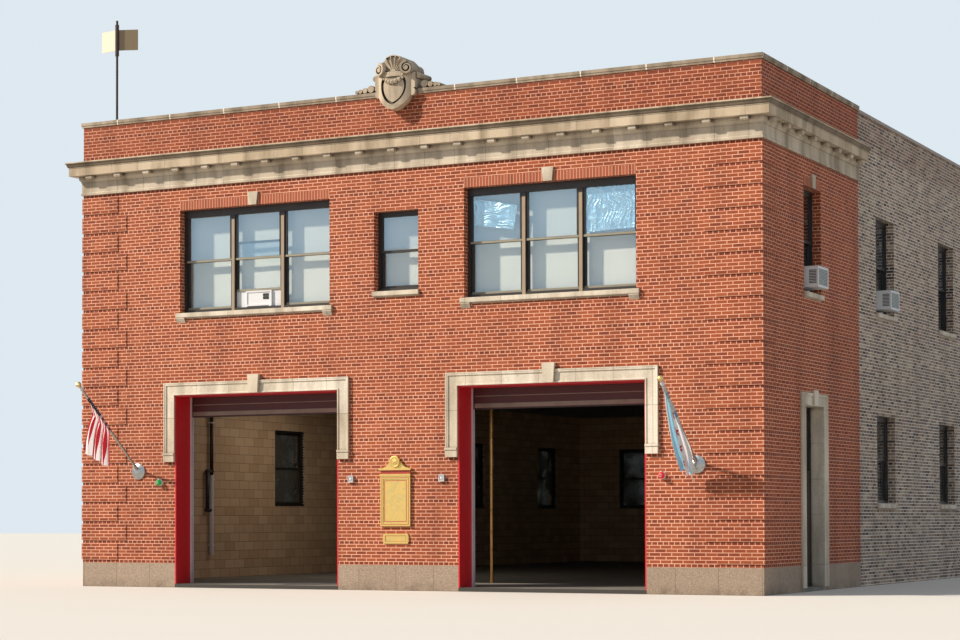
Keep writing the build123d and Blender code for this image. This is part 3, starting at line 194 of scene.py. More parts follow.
def courses(tree, where, length, height, joint, **bond):
    """Bricks, blocks or tiles: how much of a joint shows, and a number from 0 to 1 for each."""
    bond = {"offset": 0.5, "offset_frequency": 2, "squash": 1.0, "squash_frequency": 2, **bond}
    laid = put(tree, "TexBrick", sockets={
        "Vector": where, "Color1": "#000000", "Color2": "#ffffff", "Mortar": "#000000", "Scale": 1.0,
        "Mortar Size": joint / 2, "Mortar Smooth": 0.25, "Bias": 0.0,
        "Brick Width": length, "Row Height": height}, **bond).node.outputs
    return laid["Fac"], laid["Color"]


def inside_building(tree):
    """1 on faces that look into the rooms, 0 outside and in the openings."""
    _, (x, y, z) = place_of(tree)
    skin = 0.002
    across = between(tree, x, -INNER - skin, INNER + skin)
    along = between(tree, y, FRONT_WALL - skin, BACK_INNER + skin)
    plan = put(tree, "Math", across, along, operation="MULTIPLY")
    under = put(tree, "Math", z, CEILING, operation="LESS_THAN")
    return put(tree, "Math", plan, under, operation="MULTIPLY")


def glazed_tiles(tree):
    """Tan glazed wall tiles of the apparatus room, 406 by 203 mm."""
    gap, chance = courses(tree, wall_plane(tree, FLOOR_TOP), 0.406, 0.203, 0.008)
    return coat(tree, coat(tree, "#c4a584", "#d9bd9c", chance), "#5a4636", gap)


# Materials

def brick_material(name, bricks, mortar, grime, joint=0.0155):
    """Wire-cut clay face bricks in common bond, every sixth course of headers, raked mortar.

    The clay burns to several reds, its skin is matt and gritty, and rain leaves long soft streaks.
    Inside, the wall is glazed tan tile below and paint above.
    """
    material, tree = fresh(name)
    where, (_, _, z) = place_of(tree)
    gap, chance = courses(tree, wall_plane(tree), BRICK, COURSE, joint,
                          squash=0.5, squash_frequency=6)
    steps = [(i / (len(bricks) - 1), colour) for i, colour in enumerate(bricks)]
    clay = put(tree, "ValToRGB", chance, ramp=steps)
    above = put(tree, "Math", z, GRANITE_TOP, operation="SUBTRACT")
    row = put(tree, "Math", put(tree, "Math", above, COURSE, operation="DIVIDE"), operation="FLOOR")
    sixth = put(tree, "Math", row, 6.0, operation="FLOORED_MODULO")
    headers = put(tree, "Math", sixth, 0.5, operation="LESS_THAN")
    clay = stain(tree, clay, "#c8b0a8", headers, 0.6)
    grit = cloud(tree, where, 0.012, 4.0)
    clay = stain(tree, clay, coat(tree, "#6b5a52", "#ffffff", grit), 0.35)
    sand = coat(tree, mortar[0], mortar[1], cloud(tree, where, 0.3))
    wall = coat(tree, clay, sand, gap)
    streaks = put(tree, "Mapping", where, sockets={3: (1.0, 1.0, 0.12)})
    wall = stain(tree, wall, grime, cloud(tree, streaks, 0.55, 5.0, 0.45, 0.75), 0.36)
    wall = stain(tree, wall, "#c9a58e", cloud(tree, where, 2.2, 2.0, 0.3, 0.7), 0.2)
    parapet = put(tree, "MapRange", z, CROWN_TOP, CROWN_TOP + 0.12)
    wall = stain(tree, wall, "#b89a90", parapet, 0.35)
    paint = coat(tree, "#b9b1a0", "#c6bfae", cloud(tree, where, 1.5))
    upstairs = put(tree, "Math", z, UPPER_FLOOR_FOOT, operation="GREATER_THAN")
    room = coat(tree, glazed_tiles(tree), paint, upstairs)
    inside = inside_building(tree)
    rough = put(tree, "Mix", inside, sockets={2: 0.88, 3: 0.42})
    outside = put(tree, "Math", 1.0, inside, operation="SUBTRACT")
    height = put(tree, "Math", relief(tree, gap, grit, 0.12), outside, operation="MULTIPLY")
    finish(tree, coat(tree, wall, room, inside), rough, height, 0.004)
    return material


def soldier_material():
    """The face brick stood on end in one course, a joint every 66 mm."""
    material, tree = fresh("face_brick_soldiers")
    gap, chance = courses(tree, wall_plane(tree), COURSE * 0.98, 3.0, 0.011, offset=0.0)
    clay = put(tree, "ValToRGB", chance, ramp=[(0.0, "#93462f"), (0.5, "#b05c40"), (1.0, "#a65238")])
    finish(tree, coat(tree, clay, "#dfbc9e", gap), 0.88, relief(tree, gap), 0.006)
    return material


def limestone_material(name, block, joint_colour, dark=0.5, joint=0.006, crown=False,
                       low="#d8c8ae", high="#ece0cb", crust_and_shade="#5f564c"):
    """Sawn and carved limestone: fine oolitic grain, a buff face with painted shade under ledges.

    block is the length and height of its blocks. crust_and_shade is the colour laid into hollows,
    grooves and the undersides of ledges: painted shade, partly the black crust that rain never
    washes. crown gives the cornice its hollow moulding in painted shade and soot, its fascia and its
    washed top edge.
    """
    material, tree = fresh(name)
    where, (_, _, z) = place_of(tree)
    gap, chance = courses(tree, wall_plane(tree), *block, joint, offset=0.0)
    face = coat(tree, low, high, chance)
    grain = cloud(tree, where, 0.02, 4.0)
    face = stain(tree, face, coat(tree, "#a8977c", "#ffffff", grain), 0.25)
    streaks = put(tree, "Mapping", where, sockets={3: (1.0, 1.0, 0.25)})
    face = stain(tree, face, "#8d8170", cloud(tree, streaks, 0.35, 6.0, 0.42, 0.72), dark)
    # Painted shade: hollows, grooves and ledge undersides darkened by how shut in they are, partly
    # crust
    hollow_shade = put(tree, "AmbientOcclusion", out="AO", sockets={"Distance": 0.1}, samples=8)
    face = stain(tree, face, crust_and_shade, put(tree, "MapRange", hollow_shade, 0.78, 0.38), dark)
    # The crown's hollow moulding is darkened as painted shade, with soot
    if crown:
        for foot, top, colour in CROWN_SOOT_AND_SHADE:
            face = stain(tree, face, colour, between(tree, z, foot, top))
    finish(tree, coat(tree, face, joint_colour, gap), 0.8, relief(tree, gap, grain, 0.3), 0.003)
    return material


def granite_material():
    """Flame-finished granite: grey, tan and black crystals about 9 mm across, splashed at the foot.

    Inside the bays the same course is tiled like the wall.
    """
    material, tree = fresh("flamed_granite")
    where, (_, _, z) = place_of(tree)
    crystals = put(tree, "TexVoronoi", out="Color", sockets={"Vector": where, "Scale": 1 / 0.009})
    speck = put(tree, "SeparateColor", crystals)
    stone = put(tree, "ValToRGB", speck, ramp=[
        (0.0, "#7b6c60"), (0.2, "#988473"), (0.55, "#ab9682"), (1.0, "#bfac97")])
    gap, chance = courses(tree, wall_plane(tree, 0.0), 0.84, 0.5, 0.008, offset=0.0)
    stone = stain(tree, stone, "#8f7f70", chance, 0.2)
    splash = put(tree, "MapRange", z, 0.22, 0.0)
    damp = put(tree, "Math", splash, cloud(tree, where, 0.25, 5.0), operation="MULTIPLY")
    stone = coat(tree, stain(tree, stone, "#6b5e54", damp, 0.5), "#6f6052", gap)
    stone = coat(tree, stone, glazed_tiles(tree), inside_building(tree))
    finish(tree, stone, 0.7, relief(tree, gap, speck, 0.25), 0.003)
    return material


def concrete_material(name, low, high, joints=None):
    """Trowelled concrete or felt: cloudy grey, with hairline joints every so many metres."""
    material, tree = fresh(name)
    where, _ = place_of(tree)
    face = coat(tree, low, high, cloud(tree, where, 0.8, 5.0))
    height = put(tree, "Math", cloud(tree, where, 0.01, 3.0), 0.3, operation="MULTIPLY")
    if joints:
        gap, _ = courses(tree, where, joints, joints, 0.01, offset=0.0)
        face = coat(tree, face, "#3b3833", gap)
        height = put(tree, "Math", height, gap, operation="SUBTRACT")
    finish(tree, face, 0.75, height, 0.002)
    return material


def painted_material(name, colour, worn, roughness, wear=0.25, metal=0.0):
    """Brushed-on or sprayed enamel over steel: slight orange peel, chalking in patches."""
    material, tree = fresh(name)
    where, _ = place_of(tree)
    face = coat(tree, colour, worn, cloud(tree, where, 0.35, 6.0, 0.45, 0.7), wear)
    finish(tree, face, roughness, cloud(tree, where, 0.006, 2.0), 0.0003, Metallic=metal)
    return material


def aerial_material():
    """Weathered paint of the aerial: brown on the mast, cream on one panel, and on the other an olive
    drab that is partly painted shade.
    """
    material, tree = fresh("weathered_and_shaded_aerial_paint")
    where, (x, _, z) = place_of(tree)
    face = coat(tree, "#4b332b", "#2e2422", cloud(tree, where, 0.3, 5.0))
    tall = between(tree, z, MAST_PANELS[0] - 0.001, MAST_PANELS[1] + 0.001)
    # The panel right of the mast is olive: partly its paint, partly painted shade
    for edge, beyond, colour in ((MAST_X + 0.05, "GREATER_THAN", "#8f7d63"),
                                 (MAST_X - 0.05, "LESS_THAN", "#e6dcc6")):
        panel = put(tree, "Math", tall, put(tree, "Math", x, edge, operation=beyond),
                    operation="MULTIPLY")
        face = coat(tree, face, colour, panel)
    finish(tree, face, 0.65, cloud(tree, where, 0.02), 0.0006)
    return material


def metal_material(name, colour, dull, roughness, spots=0.02):
    """Bare metal, gilt or polished, dulled unevenly by hands and weather."""
    material, tree = fresh(name)
    where, _ = place_of(tree)
    tarnish = cloud(tree, where, spots, 4.0, 0.35, 0.7)
    rough = put(tree, "MapRange", tarnish, sockets={3: roughness * 0.8, 4: roughness * 1.3})
    finish(tree, coat(tree, colour, dull, tarnish, 0.5), rough, tarnish, 0.0004, Metallic=1.0)
    return material


def glass_material(name, tint, mirror, veil_share=0.0):
    """Float glass with a faint blue coating: it mirrors the sky, and sunlight still passes so that
    blinds behind it are lit. Insect screens dull the lower sashes. The last argument is the share of a
    grey veil: painted shade that keeps the windows seen through the bays dark.
    """
    material, tree = fresh(name)
    where, (_, _, z) = place_of(tree)
    ripple = put(tree, "TexNoise", sockets={"Vector": where, "Scale": 1.6, "Detail": 1.0})
    bump = put(tree, "Bump", sockets={"Strength": 0.2, "Distance": 0.004, "Height": ripple})
    pane = put(tree, "BsdfPrincipled", sockets={
        "Base Color": tint, "Roughness": 0.01, "IOR": 1.5, "Transmission Weight": 1.0,
        "Normal": bump})
    film = put(tree, "BsdfGlossy", sockets={"Color": "#a6d6f4", "Roughness": 0.02, "Normal": bump})
    upper = put(tree, "Math", z, WIDE_MEET, operation="GREATER_THAN")
    share = put(tree, "Math", upper, mirror, mirror, operation="MULTIPLY_ADD")
    coated = put(tree, "MixShader", share, pane, film)
    # Grey veil over the glass, with a dark tint: painted shade on the windows behind the bays
    veil = put(tree, "Math", cloud(tree, where, 0.6, 4.0, 0.2, 0.6), veil_share, operation="MULTIPLY")
    dusty = put(tree, "MixShader", veil, coated, put(tree, "BsdfDiffuse", "#5d5a52"))
    ray = put(tree, "LightPath").node.outputs
    lets_by = put(tree, "Math", ray["Is Shadow Ray"], ray["Is Diffuse Ray"], operation="MAXIMUM")
    clear = put(tree, "BsdfTransparent", tint)
    put(tree, "OutputMaterial", put(tree, "MixShader", lets_by, dusty, clear))
    return material


def blind_material():
    """Roller blind of white woven glass-fibre cloth: matt, threads of about 1 mm drawn at 4 mm."""
    material, tree = fresh("blind_cloth")
    where, _ = place_of(tree)
    gap, chance = courses(tree, wall_plane(tree), 0.008, 0.004, 0.0015)
    face = coat(tree, coat(tree, "#fafaf2", "#fffff8", chance), "#b9bdb4", gap, 0.3)
    face = coat(tree, face, "#b6b3a2", cloud(tree, where, 0.5), 0.08)
    finish(tree, face, 0.9, relief(tree, gap), 0.0008)
    return material


def foil_material():
    """Crinkled metallised film taped inside the glass: bright, bluish, creased every few cm."""
    material, tree = fresh("crinkled_film")
    where, _ = place_of(tree)
    crease = put(tree, "TexNoise", sockets={"Vector": where, "Scale": 14.0, "Detail": 4.0,
                                            "Distortion": 1.0})
    finish(tree, "#c0deee", 0.26, crease, 0.008, Metallic=0.9)
    return material


def coil_material():
    """Condenser coil: upright aluminium fins, too fine to show and so drawn 15.8 mm apart as light
    bands with painted shade between them, greyed with road dust.
    """
    material, tree = fresh("coil_fins")
    where, _ = place_of(tree)
    fin_pitch = 0.0158337
    fins = put(tree, "TexWave", out=1, sockets={"Vector": where, "Scale": WAVE / fin_pitch},
               bands_direction="Y")
    face = coat(tree, "#6d7675", "#8f9997", fins)
    face = coat(tree, face, "#6d6a63", cloud(tree, where, 0.15, 4.0), 0.4)
    finish(tree, face, 0.5, fins, 0.001, Metallic=0.3)
    return material


def lens_material(name, colour):
    """Ribbed pressed glass of a signal lamp, deep coloured and lit from inside."""
    material, tree = fresh(name)
    where, _ = place_of(tree)
    rib_pitch = 0.015708
    ribs = put(tree, "TexWave", out=1, sockets={"Vector": where, "Scale": WAVE / rib_pitch},
               bands_direction="Z")
    # The troughs between the ribs are darkened: painted shade
    deep = stain(tree, colour, "#1a1414", ribs, 0.4)
    finish(tree, deep, 0.12, ribs, 0.001, IOR=1.5,
           **{"Emission Color": deep, "Emission Strength": 0.5})
    return material


def flag_material(name, bands):
    """Printed nylon bunting: a fine weave with a soft sheen, thin enough to glow against the sun."""
    material, tree = fresh(name)
    cut = put(tree, "TexCoord", out="UV")
    along, across, _ = put(tree, "SeparateXYZ", cut).node.outputs
    colour = bands(tree, along, across)
    thread = put(tree, "TexChecker", out=1, sockets={"Vector": cut, "Scale": 420.0})
    bump = put(tree, "Bump", sockets={"Strength": 1.0, "Distance": 0.0006, "Height": thread})
    face = put(tree, "BsdfPrincipled", sockets={"Base Color": colour, "Roughness": 0.55,
                                                "Sheen Weight": 0.3, "Normal": bump})
    glow = put(tree, "BsdfTranslucent", colour)
    put(tree, "OutputMaterial", put(tree, "MixShader", 0.5, face, glow))
    return material


def striped(tree, along, across):
    """Thirteen stripes across the hoist, and a blue field of small pale dots by the pole's top."""
    stripe = put(tree, "Math", put(tree, "Math", along, 13.0, operation="MULTIPLY"), 2.0,
                 operation="MODULO")
    odd = put(tree, "Math", stripe, 1.0, operation="GREATER_THAN")
    stripes = coat(tree, "#b3202f", "#f1eef0", odd)
    grid = put(tree, "CombineXYZ", put(tree, "Math", along, 17.0, operation="MULTIPLY"),
               put(tree, "Math", across, 27.0, operation="MULTIPLY"))
    dot = put(tree, "TexVoronoi", sockets={"Vector": grid, "Scale": 1.0, "Randomness": 0.0})
    dotted = put(tree, "Math", dot, 0.2, operation="LESS_THAN")
    field = coat(tree, "#252a4d", "#e9e6ea", dotted)
    corner = put(tree, "Math", put(tree, "Math", along, 7 / 13, operation="LESS_THAN"),
                 put(tree, "Math", across, 0.4, operation="LESS_THAN"), operation="MULTIPLY")
    return coat(tree, stripes, field, corner)


def banded(tree, along, across):
    """White cloth with two pale blue bands and a row of four red stars between them."""
    aside = put(tree, "Math", along, 0.5, operation="SUBTRACT")
    off = put(tree, "Math", aside, operation="ABSOLUTE")
    cloth = coat(tree, "#f4f6f8", "#8fc6e0", between(tree, off, 0.17, 0.34))
    fifth = put(tree, "Math", across, 5.0, 0.5, operation="MULTIPLY_ADD")
    row = put(tree, "Math", put(tree, "Math", fifth, operation="FRACT"), 0.5, operation="SUBTRACT")
    wide = put(tree, "Math", row, FLAG_FLY / 5, operation="MULTIPLY")
    high = put(tree, "Math", aside, FLAG_HOIST, operation="MULTIPLY")
    turn = put(tree, "Math", high, wide, operation="ARCTAN2")
    points = put(tree, "Math", put(tree, "Math", turn, 6.0, operation="MULTIPLY"), operation="COSINE")
    square = put(tree, "Math", high, high, operation="MULTIPLY")
    square = put(tree, "Math", wide, wide, square, operation="MULTIPLY_ADD")
    reach = put(tree, "Math", square, operation="SQRT")
    edge = put(tree, "Math", points, 0.028, 0.062, operation="MULTIPLY_ADD")
    star = put(tree, "Math", reach, edge, operation="LESS_THAN")
    past_hoist = put(tree, "Math", across, 0.12, operation="GREATER_THAN")
    return coat(tree, cloth, "#d02036", put(tree, "Math", star, past_hoist, operation="MULTIPLY"))


# Pressed clay of the front: an even orange red, between joints of pink sand mortar
face_brick = brick_material(
    "face_brick", ("#8e4227", "#a24e2d", "#ae5731", "#b45d36", "#a7522e", "#bc653e"),
    ("#f6b497", "#fec4a8"), "#94776a", 0.0155)
# Common clay of the sides: tans, greys and browns mixed, with wide pale joints
common_brick = brick_material(
    "common_brick", ("#463a34", "#8e7a69", "#ccb49c", "#927462", "#dcc8b0", "#6b5447", "#b09681"),
    ("#fbf5ec", "#fffcf4"), "#9a9086", 0.0185)
# Rubbed limestone round the doorways and windows: the palest and cleanest of the stone
stone_trim = limestone_material("limestone_trim", (0.78, 3.0), "#8d8068", 0.6,
                                low="#e4d8c4", high="#f8f0e2")
# Moulded limestone of the crown: greyer, streaked by the water that drips off it
stone_cornice = limestone_material("limestone_cornice", (0.6695, 3.0), "#6f6555", 0.75, crown=True,
                                   low="#cdbfab", high="#e2d6c4")
# Coping stones, weathered grey on top, with pale pointing between them
stone_coping = limestone_material("limestone_coping", (1.339, 3.0), "#efe8da", 0.9, 0.03,
                                  low="#a99a88", high="#beb09c")
# Carved limestone: painted shade and black crust in every hollow make the relief stand out
stone_carved = limestone_material("carved_limestone", (9.0, 9.0), "#8d8068", 0.95,
                                  low="#c6b7a2", high="#dccdb6", crust_and_shade="#3c342d")
# Salt-glazed clay: brown, with a dull shine
clay_tile = painted_material("glazed_clay_tile", "#8f7a67", "#6b5648", 0.45, 0.5)
granite = granite_material()
# Trowelled concrete in 3 m bays, cast concrete as struck, and felt whose mineral grains look slaty
floor_concrete = concrete_material("trowelled_concrete", "#6b6862", "#7d7a73", 3.0)
slab_concrete = concrete_material("cast_concrete", "#85827b", "#96938b")
roof_felt = concrete_material("mineral_roofing_felt", "#55565a", "#66686c", 0.98)
# Sprayed enamel on steel: clean fire red on the linings, and old dark red on the overhead doors
red_enamel = painted_material("red_enamel", "#d32832", "#c8504a", 0.38, 0.12)
dark_red_enamel = painted_material("dark_red_enamel", "#451110", "#30100f", 0.55)
# Dark bronze anodising: near black, with a faint metallic shine
bronze_paint = painted_material("dark_bronze_aluminium", "#34302f", "#4a443f", 0.42, 0.3, 0.3)
# The same finish in painted sunlight: a tan sheen on the mullion covers, a grey one on the rails
sunlit_bronze_paint = painted_material("sunlit_bronze_aluminium", "#a5917a", "#8a7a68", 0.5, 0.4)
sunlit_rail_paint = painted_material("sunlit_rail_aluminium", "#96907f", "#7a7468", 0.5, 0.4)
# Baked enamels: white, the door tracks' grey white, and the wall boxes' grey, all even and satin
white_enamel = painted_material("white_enamel", "#e3e5ea", "#c9ccd2", 0.4)
track_paint = painted_material("track_grey_white_paint", "#d6d0d6", "#a9a4a6", 0.5)
grey_enamel = painted_material("grey_enamel", "#a9adb2", "#8c9095", 0.5)
mast_paint = aerial_material()
# Steel strut under years of road dust: brown grey and matt
dusty_paint = painted_material("dusty_strut_paint", "#8e7c70", "#6a5a50", 0.6, 0.6)
# Cast iron in black pipe paint: satin, uneven
black_iron = painted_material("black_iron_pipe", "#2b2726", "#413a36", 0.5)
# Satin anodised tube: a soft white shine
aluminium = metal_material("satin_aluminium", "#aeb0af", "#86888a", 0.32, 0.05)
# Drawn brass tube kept bright by hands: sharp yellow highlights
brass = metal_material("polished_brass", "#d0a468", "#a37a40", 0.24, 0.3)
# Gilt bronze casting: warm gold, dull in patches
gilt = metal_material("gilt_bronze", "#dfc27c", "#b8924c", 0.42, 0.06)
glass = glass_material("float_glass", "#fafcfb", 0.12)
# The same glass greyed and hardly clear: painted shade that keeps the windows behind the bays dark
painted_shade_rear_glass = glass_material("painted_shade_glass", "#4b4d48", 0.1, 0.85)
blind_cloth = blind_material()
foil = foil_material()
# Enamel let into the plaque's lines, weathered to a brick red
lining_enamel = painted_material("plaque_red_enamel", "#b5483a", "#c4705a", 0.4)
# Matt black: the rubber of the door seals, and painted shade in the coolers' slots and grille openings
shadow_paint = painted_material("black_seal_and_slot_shade", "#25262a", "#3a3b3f", 0.7)
striped_nylon = flag_material("striped_nylon", striped)
banded_nylon = flag_material("banded_nylon", banded)

FINISH = {
    face_brick: ("front_piers", "front_spandrel", "front_window_piers", "front_wall_head", "quoins",
                 "right_return_jambs", "right_return_upper", "left_return_wall"),
    common_brick: ("right_side_wall", "left_side_wall", "rear_wall"),
    granite: ("granite_base",),
    stone_trim: ("door_surrounds", "window_stonework"),
    stone_cornice: ("frieze", "cornice", "modillions"),
    stone_coping: ("stone_coping",),
    stone_carved: ("cartouche",),
    clay_tile: ("tile_coping",),
    floor_concrete: ("apparatus_floor",),
    slab_concrete: ("upper_floor",),
    roof_felt: ("roof_deck",),
    red_enamel: ("doorway_linings",),
    dark_red_enamel: ("overhead_doors",),
    track_paint: ("door_tracks",),
    bronze_paint: ("front_window_frames", "right_window_frames", "left_window_frames",
                   "rear_window_frames", "side_door_frame", "side_door"),
    brass: ("sliding_pole", "side_door_handle"),
    aluminium: ("flagpoles",),
    gilt: ("plaques",),
    white_enamel: ("air_conditioners",),
    grey_enamel: ("wall_fittings",),
    mast_paint: ("aerial_mast",),
    glass: ("front_window_glass", "right_window_glass"),
    painted_shade_rear_glass: ("left_window_glass", "rear_window_glass"),
}
for material, names in FINISH.items():
    for name in names:
        slots = nodes[name].data.materials
        slots.clear()
        slots.append(material)


# Meshes

def piece(name, mesh, material, body="building", smooth=False):
    """Puts a mesh in the scene as a named piece that rides with a body."""
    data = bpy.data.meshes.new(name)
    mesh.to_mesh(data)
    mesh.free()
    thing = bpy.data.objects.new(name, data)
    bpy.context.scene.collection.objects.link(thing)
    data.materials.append(material)
    for face in data.polygons:
        face.use_smooth = smooth
    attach(thing, body)
    return thing


def on_right(point):
    """Point drawn on the front, moved to the right side wall: x is the distance from the front."""
    return Vector((HALF - point[1], point[0], point[2]))


def on_left(point):
    """The same on the left side wall."""
    return Vector((-HALF + point[1], point[0], point[2]))


def as_drawn(point):
    """Point on the front, where it was drawn."""
    return Vector(point)


def slab(mesh, x0, x1, y0, y1, z0, z1, chamfer=0.0, where=as_drawn):
    """Box with its arrises taken off."""
    made = bmesh.ops.create_cube(mesh, size=1.0)["verts"]
    for v in made:
        v.co = Vector((x0 if v.co.x < 0 else x1, y0 if v.co.y < 0 else y1, z0 if v.co.z < 0 else z1))
    if chamfer:
        edges = list(dict.fromkeys(edge for v in made for edge in v.link_edges))
        made = bmesh.ops.bevel(mesh, geom=edges, offset=chamfer, segments=2,
                               affect="EDGES")["verts"]
    for v in made:
        v.co = where(v.co)


def lathe(mesh, foot, axis, profile, steps=32):
    """Turned shape: profile is its (radius, reach along the axis from the foot)."""
    turn = Vector(axis).to_track_quat("Z", "Y")
    rings = []
    for radius, reach in profile:
        spots = [Vector((radius * cos(2 * pi * i / steps), radius * sin(2 * pi * i / steps), reach))
                 for i in range(steps)]
        rings.append([mesh.verts.new(Vector(foot) + turn @ spot) for spot in spots])
    for low, high in zip(rings, rings[1:]):
        for i in range(steps):
            mesh.faces.new((low[i], low[i - 1], high[i - 1], high[i]))
    mesh.faces.new(rings[0])
    mesh.faces.new(rings[-1][::-1])


def rim(mesh, x0, x1, y0, y1, z0, z1, wide, chamfer=0.0, where=as_drawn):
    """Flat rectangular frame of four bars."""
    for bar in ((x0, x1, z0, z0 + wide), (x0, x1, z1 - wide, z1),
                (x0, x0 + wide, z0 + wide, z1 - wide), (x1 - wide, x1, z0 + wide, z1 - wide)):
        slab(mesh, bar[0], bar[1], y0, y1, bar[2], bar[3], chamfer, where)


def sheet_mesh(mesh, columns, rows, place):
    """Grid surface whose point at (s, t), both from 0 to 1, is place(s, t), with its cut as the UV."""
    cut = mesh.loops.layers.uv.new("cut")
    grid = [[mesh.verts.new(place(i / columns, j / rows)) for j in range(rows + 1)]
            for i in range(columns + 1)]
    for i in range(columns):
        for j in range(rows):
            corners = ((i, j), (i + 1, j), (i + 1, j + 1), (i, j + 1))
            face = mesh.faces.new([grid[a][b] for a, b in corners])
            for loop, (a, b) in zip(face.loops, corners):
                loop[cut].uv = (a / columns, b / rows)


# Soldier courses over the wide windows and the return windows
SOLDIER, SOLDIER_FACE, SOLDIER_BACK, RETURN_HALF = 0.186, -0.0015, 0.02, 0.52
soldiers = bmesh.new()
for x in WIDE_X:
    slab(soldiers, x - WIDE_WIDTH / 2, x + WIDE_WIDTH / 2, SOLDIER_FACE, SOLDIER_BACK,
         WIDE_HEAD, WIDE_HEAD + SOLDIER)
for where in (on_right, on_left):
    slab(soldiers, RETURN_Y - RETURN_HALF, RETURN_Y + RETURN_HALF, SOLDIER_FACE, SOLDIER_BACK,
         RETURN_HEAD, RETURN_HEAD + SOLDIER, where=where)
piece("soldier_courses", soldiers, soldier_material())

# Overhead doors: steel strut and rubber seal on the bottom section of each leaf
STRUT_HALF, SEAL_HALF, LEAF_FACE, LEAF_MIDDLE = 1.88, 1.9, 0.545, 0.57
struts, seals = bmesh.new(), bmesh.new()
for x in BAY_X:
    for proud, low, high, chamfer in ((0.017, 0.02, 0.105, 0.004), (0.007, 0.24, 0.256, 0.003)):
        slab(struts, x - STRUT_HALF, x + STRUT_HALF, LEAF_FACE - proud, LEAF_FACE,
             LEAF_FOOT + low, LEAF_FOOT + high, chamfer)
    slab(seals, x - SEAL_HALF, x + SEAL_HALF, LEAF_MIDDLE - 0.014, LEAF_MIDDLE + 0.014,
         LEAF_FOOT - 0.012, LEAF_FOOT + 0.004, 0.005)
piece("leaf_struts", struts, dusty_paint)
piece("leaf_bottom_seals", seals, shadow_paint)

# Stone lining of the side doorway's reveal: five blocks a side and a head
DOOR_HALF, DOOR_REVEAL, DOOR_HEAD = 0.54, 0.236, 3.55
LINING, LINING_BLOCK, LINING_LIP = 0.004, 0.695, 0.001
reveal = bmesh.new()
for side in (-1, 1):
    near, far = sorted((RETURN_Y + side * DOOR_HALF, RETURN_Y + side * (DOOR_HALF - LINING)))
    for block in range(5):
        low = FLOOR_TOP + block * LINING_BLOCK
        slab(reveal, near, far, LINING_LIP, DOOR_REVEAL, low, low + LINING_BLOCK - LINING,
             LINING_LIP, on_right)
slab(reveal, RETURN_Y - DOOR_HALF + LINING, RETURN_Y + DOOR_HALF - LINING, LINING_LIP, DOOR_REVEAL,
     DOOR_HEAD - LINING, DOOR_HEAD, LINING_LIP, on_right)
piece("side_door_reveal_stones", reveal, stone_trim)

# Joinery of the front windows: covers on mullions and rails in painted sunlight, and panning under the
# head, partly painted shade
COVER_HALF, COOLER_RISE = 0.036, 0.33
covers, rails, panning_and_shade = bmesh.new(), bmesh.new(), bmesh.new()
for x in WIDE_X:
    for side in (-1, 1):
        middle = x + side * WIDE_PITCH / 2
        # The covers stop 0.235 m under the head: the dark bronze above them is painted shade of the
        # head
        slab(covers, middle - COVER_HALF, middle + COVER_HALF, REVEAL - 0.008, REVEAL,
             WIDE_SILL, WIDE_HEAD - 0.235, 0.003)
    for light in (-1, 0, 1):
        edge = x + light * WIDE_PITCH - WIDE_LIGHT / 2
        slab(rails, edge, edge + WIDE_LIGHT, REVEAL + 0.012, REVEAL + 0.02,
             WIDE_MEET - 0.024, WIDE_MEET + 0.02, 0.003)
        low = WIDE_SILL + FRAME_FACE + (COOLER_RISE if x < 0 and light == 0 else 0.0)
        slab(rails, edge + 0.005, edge + WIDE_LIGHT - 0.005, REVEAL + 0.052, REVEAL + 0.06,
             low, low + SASH_FACE, 0.003)
    # Dark bronze panning under the head, tall enough to stand also for the head's shadow: partly
    # painted shade
    slab(panning_and_shade, x - WIDE_WIDTH / 2 + 0.001, x + WIDE_WIDTH / 2 - 0.001, REVEAL - 0.004,
         REVEAL + 0.018, WIDE_HEAD - 0.15, WIDE_HEAD - 0.001, 0.004)
piece("mullion_covers", covers, sunlit_bronze_paint)
piece("sash_rail_covers", rails, sunlit_rail_paint)
piece("window_head_panning", panning_and_shade, bronze_paint)

# Roller shades
SHADE_Y, SHADE_LIFT = 0.3775, 0.04


def shade(name, x, half, foot, head):
    """Blind let down behind a light, slightly rippled, with a bar in its hem."""
    def hang(s, t):
        ripple = 0.0015 * sin(9 * s + 2.5 * x) + 0.001 * sin(5 * t + x)
        return Vector((x + half * (2 * s - 1), SHADE_Y + ripple, head + (foot - head) * t))

    cloth = bmesh.new()
    sheet_mesh(cloth, 12, 24, hang)
    bar = bmesh.new()
    slab(bar, x - half, x + half, SHADE_Y - 0.005, SHADE_Y + 0.005, foot, foot + 0.024, 0.003)
    hem = piece(name + "_hem_bar", bar, white_enamel)
    blind = piece(name, cloth, blind_cloth, smooth=True)
    return blind


blinds = [shade(f"shade_{place}_{light + 2}", x + light * WIDE_PITCH, (WIDE_PITCH - 0.008) / 2,
                WIDE_SILL + SHADE_LIFT, WIDE_HEAD)
          for place, x in zip(("left", "right"), WIDE_X) for light in (-1, 0, 1)]
shade("shade_middle", SMALL_X, 0.484, SMALL_SILL + SHADE_LIFT, SMALL_HEAD)
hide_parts("window_shades")


